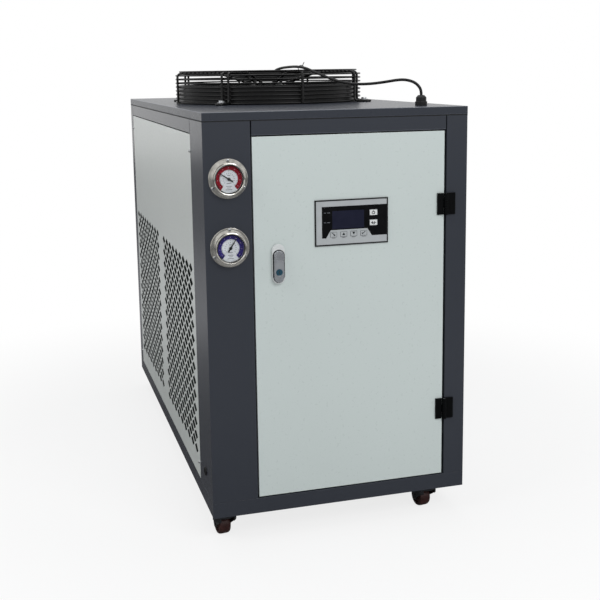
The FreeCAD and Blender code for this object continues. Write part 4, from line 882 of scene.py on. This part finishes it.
def add_coil():
    """Fins between two end plates, with the tubes' bends outside the plates."""
    low, high = corner("condenser_coil")
    inner = high.x - PLATE_OVER
    top = high.z - PLATE_RISE
    count = int((high.y - low.y - 2 * END_PLATE) / FIN_PITCH)
    fins = []
    for index in range(count + 1):
        y = low.y + END_PLATE + FIN_PITCH * index
        fins.append(((low.x, y, low.z), (inner, y + FIN_THICKNESS, top)))
    plates = [
        (low, (high.x, low.y + END_PLATE, high.z)),
        ((low.x, high.y - END_PLATE, low.z), high),
    ]
    for name, blocks, metal_name in (("coil_fin_stack", fins, "coil"), ("coil_end_plates", plates, "zinc")):
        item = block_piece(name, blocks, MATERIALS[metal_name], "root")
        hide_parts("condenser_coil")
    rows = []
    for share in TUBE_COLUMNS:
        rows += tube_column(low.x + (inner - low.x) * share, low, high, (top - low.z) / TUBE_ROWS)
    tubes = wire_piece("coil_tubes", rows, TUBE_RADIUS, MATERIALS["copper"], "root", 3)


def tube_column(x, low, high, step):
    """Straight tubes one above the other, joined by bends at both ends by turns."""
    rows = []
    for index in range(TUBE_ROWS):
        z = low.z + step * (index + 0.5)
        rows.append(([Vector((x, low.y - TUBE_OVER, z)), Vector((x, high.y + TUBE_OVER, z))], False))
    for index in range(0, TUBE_ROWS - 1, 2):
        for y, out, shift in ((low.y, -1, 0), (high.y, 1, 1)):
            if index + shift + 1 < TUBE_ROWS:
                z = low.z + step * (index + shift + 0.5)
                rows.append((tube_bend(x, y, z, step, out), False))
    return rows


def tube_bend(x, y, z, step, out):
    """A flat half loop from one tube to the next, outside an end plate."""
    steps = 8
    line = []
    for index in range(steps + 1):
        angle = math.pi * index / steps
        reach = TUBE_BEND_REACH * math.sin(angle)
        line.append(Vector((x, y + out * reach, z + step * (1 - math.cos(angle)) / 2)))
    return line


# Perforated panel

PANEL_THINNED = 0.0012


def add_thin_panel():
    """The perforated panel as thin sheet: its outer face stays, its inner face comes forward."""
    item = dress("left_panel", 0.0003)
    low, _ = corner("left_panel")
    inner = max(vertex.co.x for vertex in item.data.vertices)
    for vertex in item.data.vertices:
        if vertex.co.x > (low.x + inner) / 2:
            vertex.co.x -= PANEL_THINNED


# Painted shade in the seam under the lid

# Size of the dark strip of painted shade in the seam
SEAM_SHADE_HEIGHT = 0.0020
SEAM_SHADE_PROUD = 0.0001
SEAM_SHADE_WIDTH = 0.002


def add_lid_seam_painted_shade():
    """A thin dark strip of painted shade under the lid's lip, at the left and at the front, darkening the
    seam.
    """
    top = lid_low.z
    low = top - SEAM_SHADE_HEIGHT
    strips = [
        ((LEFT - SEAM_SHADE_PROUD, FRONT, low), (LEFT + SEAM_SHADE_WIDTH, BACK, top)),
        ((LEFT, FRONT - SEAM_SHADE_PROUD, low), (RIGHT, FRONT + SEAM_SHADE_WIDTH, top)),
    ]
    block_piece("lid_seam_painted_shade", strips, MATERIALS["black_rubber"], "root")


# Gauges

case_low, case_high = corner("gauge_cases")
dial_low, _ = corner("gauge_dials")
glass_low, _ = corner("gauge_glasses")
GAUGE_X = (case_low.x + case_high.x) / 2
GAUGE_FLANGE = (case_high.x - case_low.x) / 2
# Each gauge's height and the colour of its scale
GAUGES = {
    "red": (case_high.z - GAUGE_FLANGE, linear(146, 26, 40)),
    "blue": (case_low.z + GAUGE_FLANGE, linear(54, 45, 118)),
}
BAND_INNER = 0.0198
BAND_OUTER = 0.0292
# How far each print stands before the dial's face, one over the other
BAND_LIFT = 0.00010
MARK_LIFT = 0.00011
TICK_LIFT = 0.00012
NUMBER_LIFT = 0.00025
LONG_TICK = (0.0030, 0.0006)
SHORT_TICK = (0.0016, 0.0004)
# Printed lines on the dial: height from its centre and half length
DIAL_MARKS = ((0.0076, 0.0034), (-0.0092, 0.0046), (-0.0152, 0.0060), (-0.0186, 0.0042), (-0.0224, 0.0070))
INNER_TICKS = 12
INNER_TICK_SPAN = (0.0108, 0.0134)
OUTER_TICKS = 32
NUMBER_STEPS = 8
NUMBER_SIZE = 0.0030
SCALE_START = -52.0
SCALE_END = 232.0


def scale_angle(share, inset):
    """An angle along the scale, kept away from both of its ends."""
    return math.radians(SCALE_START + inset + (SCALE_END - SCALE_START - 2 * inset) * share)


def spoke_outline(height, angle, inner, outer, width):
    """A radial stroke on the dial."""
    across = math.cos(angle)
    up = math.sin(angle)
    return bar_outline(
        GAUGE_X + inner * across, height + inner * up, GAUGE_X + outer * across, height + outer * up, width,
    )


def add_dial(label):
    """A coloured scale band, ticks and plain numbers on the white dial."""
    height, colour = GAUGES[label]
    face = dial_low.y
    band_material = coated(label + "_scale", colour, (0.45, 0.55), 0.05, 0.0, gloss=0.08)
    band = arc_band(GAUGE_X, height, BAND_INNER, BAND_OUTER, SCALE_START, SCALE_END)
    front_faces(label + "_scale_band", [band], face - BAND_LIFT, PRINT, band_material, "root")
    ticks = []
    outer = BAND_INNER - 0.0004
    for index in range(OUTER_TICKS + 1):
        reach, width = SHORT_TICK if index % 4 else LONG_TICK
        angle = scale_angle(index / OUTER_TICKS, 8)
        ticks.append(spoke_outline(height, angle, outer - reach, outer, width))
    rim = BAND_INNER - 0.0006
    ticks.append(arc_band(GAUGE_X, height, rim, rim + 0.0003, SCALE_START, SCALE_END))
    front_faces(label + "_ticks", ticks, face - TICK_LIFT, PRINT, MATERIALS["pointer"], "root")
    middle = (BAND_INNER + BAND_OUTER) / 2 - 0.0006
    for index in range(NUMBER_STEPS + 1):
        angle = scale_angle(1 - index / NUMBER_STEPS, 14)
        place = Vector((
            GAUGE_X + middle * math.cos(angle), face - NUMBER_LIFT, height + middle * math.sin(angle),
        ))
        add_number(f"{label}_number_{index}", str(index * 2), place, NUMBER_SIZE, MATERIALS["scale_print"])
    marks = [
        bar_outline(GAUGE_X - half, height + level, GAUGE_X + half, height + level, 0.0010)
        for level, half in DIAL_MARKS
    ]
    for index in range(INNER_TICKS + 1):
        marks.append(spoke_outline(height, scale_angle(index / INNER_TICKS, 14), *INNER_TICK_SPAN, 0.0007))
    front_faces(label + "_marks", marks, face - MARK_LIFT, PRINT, MATERIALS["grey_print"], "root")


def add_number(name, text, place, size, material):
    """A number that faces the front, centred on its place."""
    data = bpy.data.curves.new(name, "FONT")
    data.body = text
    data.size = size
    data.align_x = "CENTER"
    data.align_y = "CENTER"
    data.resolution_u = 3
    data.extrude = 0.00005
    source = new_item(name + "_text", data)
    bpy.context.view_layer.update()
    graph = bpy.context.evaluated_depsgraph_get()
    mesh = bpy.data.meshes.new_from_object(source.evaluated_get(graph))
    bpy.data.objects.remove(source)
    mesh.transform(Matrix.Translation(place) @ Matrix.Rotation(math.pi / 2, 4, "X"))
    mesh.materials.clear()
    mesh.materials.append(material)
    item = new_item(name, mesh)
    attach(item, "root")


GAUGE_PROUD = FRONT - case_low.y
BEZEL = 0.035
WINDOW = 0.0297
SHELL_PROFILE = [
    (WINDOW - 0.0006, GAUGE_PROUD - 0.0070),
    (WINDOW - 0.0006, GAUGE_PROUD - 0.0038),
    (WINDOW + 0.0004, GAUGE_PROUD - 0.0022),
    (WINDOW + 0.0018, GAUGE_PROUD - 0.0004),
    (BEZEL - 0.0022, GAUGE_PROUD),
    (BEZEL - 0.0006, GAUGE_PROUD - 0.0008),
    (BEZEL, GAUGE_PROUD - 0.0026),
    (BEZEL, GAUGE_PROUD - 0.0064),
    (BEZEL - 0.0006, GAUGE_PROUD - 0.0074),
    (BEZEL - 0.0026, GAUGE_PROUD - 0.0080),
    (BEZEL - 0.0034, GAUGE_PROUD - 0.0100),
    (BEZEL - 0.0034, 0.0046),
    (BEZEL - 0.0012, 0.0028),
    (BEZEL + 0.0020, 0.0022),
    (GAUGE_FLANGE - 0.0012, 0.0022),
    (GAUGE_FLANGE - 0.0002, 0.0016),
    (GAUGE_FLANGE, 0.0010),
    (GAUGE_FLANGE - 0.0004, 0.0002),
]
GASKET_PROFILE = [(BAND_OUTER - 0.0003, 0.0), (BAND_OUTER + 0.0006, 0.0003), (BAND_OUTER + 0.0008, -0.0006)]
BODY_PROFILE = [
    (0, -0.050), (0.007, -0.050), (0.007, -0.028), (0.029, -0.028), (0.031, -0.026), (0.031, 0.0004),
    (0.0300, 0.0004),
]
# Each turned part of a gauge: profile, front face, material, segments and sharp angle
GAUGE_PARTS = {
    "shell": (SHELL_PROFILE, FRONT, "gauge_steel", 96, 24.0),
    "gasket": (GASKET_PROFILE, glass_low.y, "black_rubber", 96, 30.0),
    "body": (BODY_PROFILE, FRONT, "gauge_steel", 64, 30.0),
}


def add_gauge_cases():
    """Polished flange, rolled bezel and body of each gauge, turned as one form."""
    for label, (height, _) in GAUGES.items():
        for part, (profile, y, material, segments, angle) in GAUGE_PARTS.items():
            item = lathe(
                f"{label}_gauge_{part}", profile, (GAUGE_X, y, height), (0, -1, 0), MATERIALS[material],
                "root", segments, angle,
            )
            if part != "gasket":
                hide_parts("gauge_cases")


# Electrical board

board_low, _ = corner("electrical_board")
RAIL_HALF = 0.0175
RAIL_DEPTH = 0.0075
RAIL_OVER = 0.018
RAIL_INSET = 0.004
DUCT_HALF = 0.0125
DUCT_DEPTH = 0.030
DUCT_DROP = 0.016
SLOT_WIDTH = 0.004
SLOT_PITCH = 0.010
STRIP_WIDTH = 0.12
DIVISION_HALF = 0.0004
WIRE_RADIUS = 0.0013
SCREW_RADIUS = 0.0026
SCREW_RISE = 0.0012


def add_screws(name, places, radius, material):
    """Round screw heads facing the front, each with a dark bar of painted shade for its slot."""
    work = bmesh.new()
    turn = Matrix.Rotation(math.pi / 2, 4, "X")
    for x, y, z in places:
        head = bmesh.ops.create_cone(
            work, cap_ends=True, segments=14, radius1=radius, radius2=radius * 0.86, depth=SCREW_RISE,
        )["verts"]
        place = Matrix.Translation((x, y - SCREW_RISE / 2, z)) @ turn
        bmesh.ops.transform(work, matrix=place, verts=head)
    build(work, name, material, "root", False)
    reach = radius * 0.7
    slot_shades = [
        ((x - reach, y - SCREW_RISE - 0.0001, z - 0.0003), (x + reach, y - SCREW_RISE, z + 0.0003))
        for x, y, z in places
    ]
    block_piece(name + "_slot_shades", slot_shades, MATERIALS["black_plastic"], "root")


def device_rows():
    """The devices on the board as rows from the top down."""
    rows = []
    for low, high in sorted(separate_solids("electrical_parts"), key=lambda pair: -pair[0].z):
        if rows and abs(rows[-1][0][0].z - low.z) < 0.01:
            rows[-1].append((low, high))
        else:
            rows.append([(low, high)])
    return [sorted(row, key=lambda pair: pair[0].x) for row in rows]


def on_face(low, high, across, rise, proud):
    """A block on a device's face, sized by shares of the device's width and height."""
    middle = (low + high) / 2
    half = (high - low) / 2
    return (
        (middle.x - half.x * across, low.y - proud, middle.z - half.z * rise),
        (middle.x + half.x * across, low.y, middle.z + half.z * rise),
    )


def screw_pairs(low, high, places, inset):
    """Screws near the lower and the upper end of a device."""
    rise = (high.z - low.z) / 2 * inset
    return [(x, low.y, z) for x in places for z in (low.z + rise, high.z - rise)]


def add_electrics():
    """Toggles, covers, screws, rails, ducts and wires on the electrical board."""
    rows = device_rows()
    toggles = []
    covers = []
    screws = []
    lines = []
    for level, row in enumerate(rows):
        for low, high in row:
            width = high.x - low.x
            x = (low.x + high.x) / 2
            z = (low.z + high.z) / 2
            if width > STRIP_WIDTH:
                count = round(width / SLOT_PITCH)
                for index in range(1, count):
                    edge = low.x + width * index / count
                    near = (edge - DIVISION_HALF, low.y - 0.0003, low.z)
                    lines.append((near, (edge + DIVISION_HALF, low.y, high.z)))
                places = [low.x + width * (index + 0.5) / count for index in range(count)]
                screws += screw_pairs(low, high, places, 0.5)
            elif level == 0:
                covers.append(on_face(low, high, 0.8, 0.45, 0.003))
                near = (x - 0.005, low.y - 0.009, z - 0.009)
                toggles.append((near, (x + 0.005, low.y - 0.003, z + 0.003)))
                screws += screw_pairs(low, high, [x], 0.25)
            else:
                toggles.append(on_face(low, high, 0.8, 0.5, 0.004))
                places = [x + width / 2 * share for share in (-0.6, 0.0, 0.6)]
                screws += screw_pairs(low, high, places, 0.22)
    block_piece("device_covers", covers, MATERIALS["white_key"], "root")
    block_piece("device_toggles", toggles, MATERIALS["black_plastic"], "root")
    block_piece("strip_divisions", lines, MATERIALS["key_print"], "root")
    add_screws("device_screws", screws, SCREW_RADIUS, MATERIALS["zinc"])
    add_rails_and_ducts(rows)
    add_board_wires(rows)


def add_rails_and_ducts(rows):
    """A rail behind each row of devices and a slotted duct below it, the slots drawn as dark bars of
    painted shade.
    """
    front = board_low.y
    rails = []
    ducts = []
    slot_shades = []
    for row in rows:
        left = row[0][0].x - RAIL_OVER
        right = row[-1][1].x + RAIL_OVER
        low, high = row[0]
        middle = (low.z + high.z) / 2
        half = min(RAIL_HALF, (high.z - low.z) / 2 - RAIL_INSET)
        rails.append(((left, front - RAIL_DEPTH, middle - half), (right, front, middle + half)))
        top = low.z - DUCT_DROP
        bottom = top - 2 * DUCT_HALF
        ducts.append(((left, front - DUCT_DEPTH, bottom), (right, front, top)))
        for index in range(int((right - left) / SLOT_PITCH) - 1):
            x = left + SLOT_PITCH * (index + 0.8)
            for z in (top, bottom):
                near = (x, front - DUCT_DEPTH + 0.004, z - 0.0002)
                slot_shades.append((near, (x + SLOT_WIDTH, front - 0.006, z + 0.0002)))
    block_piece("device_rails", rails, MATERIALS["zinc"], "root")
    block_piece("wire_ducts", ducts, MATERIALS["pipe_grey"], "root")
    block_piece("duct_slot_shades", slot_shades, MATERIALS["key_print"], "root")


WIRE_COLOURS = {
    "brown": linear(96, 58, 40),
    "black": linear(18, 18, 20),
    "blue": linear(38, 66, 140),
}
WIRES_AT_DEVICE = 3
WIRES_AT_STRIP = 9


def add_board_wires(rows):
    """Wires from each device down into the duct below its row."""
    groups = {name: [] for name in WIRE_COLOURS}
    names = list(WIRE_COLOURS)
    depth = board_low.y - DUCT_DEPTH * 0.5
    for low, high in (device for row in rows for device in row):
        width = high.x - low.x
        count = WIRES_AT_DEVICE if width < STRIP_WIDTH else WIRES_AT_STRIP
        for index in range(count):
            x = low.x + width * (index + 0.5) / count
            points = [
                (x, low.y + 0.004, low.z + 0.003), (x, low.y + 0.004, low.z - 0.006),
                (x, depth, low.z - 0.010), (x, depth, low.z - DUCT_DROP - 0.002),
            ]
            groups[names[index % 3]].append((rounded_line(points, 0.003), False))
    for name, wires in groups.items():
        material = moulded("wire_" + name, WIRE_COLOURS[name], (0.35, 0.45), 0.05)
        item = wire_piece("board_wires_" + name, wires, WIRE_RADIUS, material, "root", 2)


# Controller on the door

panel_low, _ = corner("controller_case")
overlay_low, overlay_high = corner("controller_overlay")
display_low, display_high = corner("display_window")
OVERLAY = overlay_low.y
SHEET = OVERLAY + 0.0005
DISPLAY_INSET = 0.0004
# Places and sizes on the controller's face, in metres from its lower left corner
KEYS = 4
KEY_PITCH = 0.0234
KEY_START = (0.0350, 0.0190)
KEY_SIZE = (0.0154, 0.0115)
WHITE_KEYS = 2
WHITE_KEY_PITCH = 0.0226
WHITE_KEY_START = (0.1275, 0.0410)
WHITE_KEY_SIZE = (0.0165, 0.0116)
WHITE_KEY_PROUD = 0.0006
WHITE_KEY_DEPTH = 0.0008
LIGHT_LEVELS = (0.0735, 0.0520)
LIGHT_BARS = ((0.0205, 0.0255, 0.0012), (0.0285, 0.0350, 0.0014))
KEY_STROKE = 0.0006
SYMBOL_STROKE = 0.0017
WINDOW_LIFT = 0.00012
LIGHT_LIFT = 0.00018
LINE_LIFT = 0.00012
SYMBOL_LIFT = 0.00014
GLYPH_LIFT = 0.00068


def on_panel(x, z):
    """A place on the controller's face as x and z in the shared frame."""
    return panel_low.x + x, panel_low.z + z


def add_overlay_print(name, outlines, y, material, depth=PRINT, bevel=0.0):
    front_faces(name, outlines, y, depth, MATERIALS[material], "door", bevel)


def add_controller_face():
    """Printed window, trapezoid of keys, light bars and key symbols on the overlay."""
    add_overlay_print("controller_window", window_shapes(), SHEET - WINDOW_LIFT, "gloss_black")
    lines = []
    symbols = []
    for index in range(KEYS):
        x, z = on_panel(KEY_START[0] + KEY_PITCH * index, KEY_START[1])
        lines += box_frame(x, z, x + KEY_SIZE[0], z + KEY_SIZE[1], KEY_STROKE)
        lines.append(bar_outline(x + 0.0035, z - 0.0018, x + 0.0119, z - 0.0018, KEY_STROKE))
        symbols += key_symbol(index, x + 0.0077, z + 0.0066)
    add_overlay_print("key_lines", lines, OVERLAY - LINE_LIFT, "key_print", 0.0007)
    add_overlay_print("key_symbols", symbols, OVERLAY - SYMBOL_LIFT, "key_print")
    keys = []
    glyphs = []
    for row in range(WHITE_KEYS):
        x, z = on_panel(WHITE_KEY_START[0], WHITE_KEY_START[1] + WHITE_KEY_PITCH * row)
        width, height = WHITE_KEY_SIZE
        keys.append(rounded_box(x, z, x + width, z + height, 0.0012))
        glyphs += power_glyph(row, x + width / 2, z + height / 2)
    add_overlay_print(
        "white_keys", keys, OVERLAY - WHITE_KEY_PROUD, "white_key", WHITE_KEY_DEPTH, 0.0003,
    )
    add_overlay_print("white_key_glyphs", glyphs, OVERLAY - GLYPH_LIFT, "key_print")
    bars = []
    for level in LIGHT_LEVELS:
        x, z = on_panel(0, level)
        bars += [bar_outline(x + start, z, x + end, z, width) for start, end, width in LIGHT_BARS]
    add_overlay_print("light_bars", bars, SHEET - LIGHT_LIFT, "grey_print")


def power_glyph(row, x, z):
    """An open ring with a stroke: upright on the upper key, lying on the lower one."""
    ring = arc_band(x, z, 0.0024, 0.0040, -235, 55, 24)
    if row:
        return [ring, bar_outline(x, z + 0.0006, x, z + 0.0046, 0.0016)]
    return [ring, bar_outline(x - 0.0060, z, x + 0.0060, z, 0.0015)]


def window_shapes():
    """The dark window split above, below and beside the display."""
    left, low = on_panel(0.0160, 0.0172)
    right = overlay_high.x + 0.0003
    _, high = on_panel(0, 0.0870)
    _, shelf = on_panel(0, 0.0348)
    x0 = display_low.x + DISPLAY_INSET
    z0 = display_low.z + DISPLAY_INSET
    x1 = display_high.x - DISPLAY_INSET
    z1 = display_high.z - DISPLAY_INSET
    return [
        [(left, z1), (right, z1), (right, high), (left, high)],
        [(left, z0), (x0, z0), (x0, z1), (left, z1)],
        [(x1, z0), (right, z0), (right, z1), (x1, z1)],
        [
            (left, low), (panel_low.x + 0.0255, low), (panel_low.x + 0.0362, shelf),
            (panel_low.x + 0.1218, shelf), (panel_low.x + 0.1322, low + 0.001), (right, low + 0.001),
            (right, z0), (left, z0),
        ],
    ]


def key_symbol(index, x, z):
    """Plain marks: a stroke down, an arrow up, an arrow down, a stroke up."""
    reach = 0.0036
    rise = 0.0030
    if index == 0:
        return [
            bar_outline(x - reach, z + rise, x + reach, z - rise, SYMBOL_STROKE),
            bar_outline(x - 0.0002, z - rise, x + reach, z - rise, SYMBOL_STROKE),
        ]
    if index == 1:
        return [[(x - reach, z - rise), (x + reach, z - rise), (x, z + rise)]]
    if index == 2:
        return [[(x - reach, z + rise), (x, z - rise), (x + reach, z + rise)]]
    return [
        bar_outline(x - reach, z - rise, x + reach, z + rise, SYMBOL_STROKE),
        bar_outline(x - reach, z + 0.0004, x - reach, z - rise, SYMBOL_STROKE),
    ]


# Lock

# How far the band of painted shade reaches around the handle, and how far it runs under it
LOCK_SHADE_REACH = 0.0021
LOCK_OVERLAP = 0.0002


def add_lock_painted_shade():
    """Painted shade: a dark band in the gap around the handle in the face of the housing, and a dark bar in
    the key's slot.
    """
    housing_low, _ = corner("lock_housing")
    low, high = corner("lock_handle")
    x = (low.x + high.x) / 2
    half = (high.x - low.x) / 2
    top = high.z - half
    bottom = low.z + half
    near = half - LOCK_OVERLAP
    far = half + LOCK_SHADE_REACH
    around = [
        arc_band(x, top, near, far, 0, 180, 24),
        [(x - far, bottom), (x - near, bottom), (x - near, top), (x - far, top)],
        [(x + near, bottom), (x + far, bottom), (x + far, top), (x + near, top)],
        arc_band(x, bottom, near, half + LOCK_SHADE_REACH * 0.6, 180, 360, 24),
    ]
    front_faces(
        "lock_painted_shade", around, housing_low.y - 0.0001, 0.0002, MATERIALS["key_print"],
        BODY_OF["lock_housing"],
    )
    plug_low, plug_high = corner("key_plug")
    middle = (plug_low + plug_high) / 2
    slot = rounded_box(middle.x - 0.0007, middle.z - 0.0036, middle.x + 0.0007, middle.z + 0.0036, 0.0006)
    front_faces(
        "key_slot_painted_shade", [slot], plug_low.y - 0.00012, 0.0002, MATERIALS["pointer"], "key_plug",
    )


# Screws of the panels

SCREW_HEAD = [
    (0.0037, 0.0), (0.0037, 0.0012), (0.0033, 0.0021), (0.0022, 0.0027), (0.0009, 0.0029), (0, 0.0029),
]
HEAD_BURIED = 0.0024
RECESS_LEVEL = 0.00245
RECESS_DEPTH = 0.00052
RECESS_HALF_LENGTH = 0.0019
RECESS_HALF_WIDTH = 0.00042


def add_cross_screws():
    """Cross recesses in the heads of the cover and gauge screws, drawn as dark bars of painted shade."""
    for index, (low, high) in enumerate(separate_solids("cover_screws")):
        size = high - low
        axis = max(range(3), key=lambda number: size[number])
        centre = (low + high) / 2
        outward = centre[axis] > 0
        direction = Vector((0, 0, 0))
        direction[axis] = 1.0 if outward else -1.0
        top = Vector(centre)
        top[axis] = high[axis] if outward else low[axis]
        foot = top - direction * HEAD_BURIED
        item = lathe(
            f"screw_head_{index}", SCREW_HEAD, foot, direction, MATERIALS["zinc"], "root", 28, 60,
        )
        add_recess(f"screw_recess_shade_{index}", foot + direction * RECESS_LEVEL, direction)


def add_recess(name, place, direction):
    """Two crossed dark bars of painted shade on a screw's head, standing for its cross recess."""
    first, second, along = frame_of(direction)
    work = bmesh.new()
    for one, other in ((first, second), (second, first)):
        corners = [
            place + one * (a * RECESS_HALF_LENGTH) + other * (b * RECESS_HALF_WIDTH)
            for a, b in ((-1, -1), (1, -1), (1, 1), (-1, 1))
        ]
        near = [work.verts.new(point) for point in corners]
        far = [work.verts.new(point + along * RECESS_DEPTH) for point in corners]
        work.faces.new(far)
        work.faces.new(near[::-1])
        for index in range(4):
            after = (index + 1) % 4
            work.faces.new((near[index], near[after], far[after], far[index]))
    build(work, name, MATERIALS["pointer"], "root")


# Casters

WHEEL_PROFILE = [
    (0.0046, -0.0118), (0.0092, -0.0118), (0.0100, -0.0112), (0.0102, -0.0086), (0.0166, -0.0086),
    (0.0170, -0.0100), (0.0176, -0.0134), (0.0206, -0.0136), (0.0228, -0.0126), (0.0244, -0.0100),
    (0.0250, -0.0060), (0.0250, 0.0060), (0.0244, 0.0100), (0.0228, 0.0126), (0.0206, 0.0136),
    (0.0176, 0.0134), (0.0170, 0.0100), (0.0166, 0.0086), (0.0102, 0.0086), (0.0100, 0.0112),
    (0.0092, 0.0118), (0.0046, 0.0118),
]


CASTER_TURN = math.radians(7.0)
CASTERS = ("front_left", "front_right", "rear_left", "rear_right")


def add_caster_wheels():
    """A turned rubber wheel at each caster."""
    axle = (math.cos(CASTER_TURN), math.sin(CASTER_TURN), 0)
    for place in CASTERS:
        node = "caster_wheel_" + place
        low, high = corner(node)
        wheel = lathe(
            node + "_tyre", WHEEL_PROFILE, (low + high) / 2, axle, MATERIALS["wheel_rubber"],
            "wheel_" + place, 72, 28,
        )
        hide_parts(node)


# Cable tie on the lead

TIE_PLACE = Vector((0.0195, -0.2560, 0.0885))
TIE_REACH = Vector((0.0088, 0.004, 0.0075))
TIE_TAIL = ((0.004, 0.002, 0.006), (0.006, 0.002, 0.011), (0.0085, 0.002, 0.0150))
TIE_RADIUS = 0.0009
TIE_POINTS = 20


def add_cable_tie():
    """A tie around the lead and a wire of the guard, its cut tail standing up."""
    at = FAN + TIE_PLACE
    loop = []
    for index in range(TIE_POINTS):
        angle = 2 * math.pi * index / TIE_POINTS
        across = math.cos(angle)
        spoke = (TIE_REACH.x * across, TIE_REACH.y * across, TIE_REACH.z * math.sin(angle))
        loop.append(at + Vector(spoke))
    tail = [at + Vector(point) for point in TIE_TAIL]
    lines = [(loop, True), (tail, False)]
    item = wire_piece("lead_tie", lines, TIE_RADIUS, MATERIALS["black_plastic"], "root")


# Rounded edges on the CAD forms

# Radius of the rounded edges and the nodes that have it, in metres
SHEET_EDGES = (
    (0.0008, "base_frame front_left_column front_right_post rear_left_post rear_right_post"),
    (0.0006, "left_top_rail right_top_rail rear_top_rail right_panel rear_panel"),
    (0.0009, "door_skin"),
    (0.0006, "controller_case fan_motor"),
    (0.0005, "electrical_board"),
    (0.0012, "electrical_parts"),
    (0.002, "water_tank"),
    (0.0015, "water_pump"),
    (0.0012, "compressor"),
)
# The same for small and round forms, where short edges are rounded as well
ROUND_EDGES = (
    (0.0012, "lock_housing"),
    (0.0009, "lock_handle"),
    (0.0004, "key_plug"),
    (0.0006, "door_hinge_leaves frame_hinge_leaves"),
    (0.0005, "hinge_pins"),
    (0.0006, "cable_gland power_grommet fan_shroud"),
    (0.0005, "water_ports"),
)
LONG_EDGE = 0.2


def dress_nodes():
    # The lid's and the front top rail's rounded edges get the painted highlight coat
    dress("lid", 0.0022, 2, LONG_EDGE, LID_COAT, PAINTED_HIGHLIGHT_COAT)
    dress("front_top_rail", 0.0010, 2, LONG_EDGE, None, PAINTED_HIGHLIGHT_COAT)
    for bevel, nodes in SHEET_EDGES:
        for node in nodes.split():
            dress(node, bevel)
    for bevel, nodes in ROUND_EDGES:
        for node in nodes.split():
            dress(node, bevel, 2, 0.0, LOCK_CASE if node == "lock_housing" else None)
    for place in CASTERS:
        dress("caster_fork_" + place, 0.0005, 2, 0.0, MATERIALS["fork_steel"])


def main():
    add_camera()
    add_fan_lead()
    give_cad_nodes_materials()
    dress_nodes()
    add_guard()
    add_guard_bolts()
    add_lid_seam_painted_shade()
    add_coil()
    add_thin_panel()
    add_electrics()
    add_gauge_cases()
    add_dial("red")
    add_dial("blue")
    add_controller_face()
    add_lock_painted_shade()
    add_cross_screws()
    add_caster_wheels()
    add_cable_tie()
    add_stage()
    add_world()
    add_lights()
    bpy.context.scene.view_settings.view_transform = "Standard"


main()
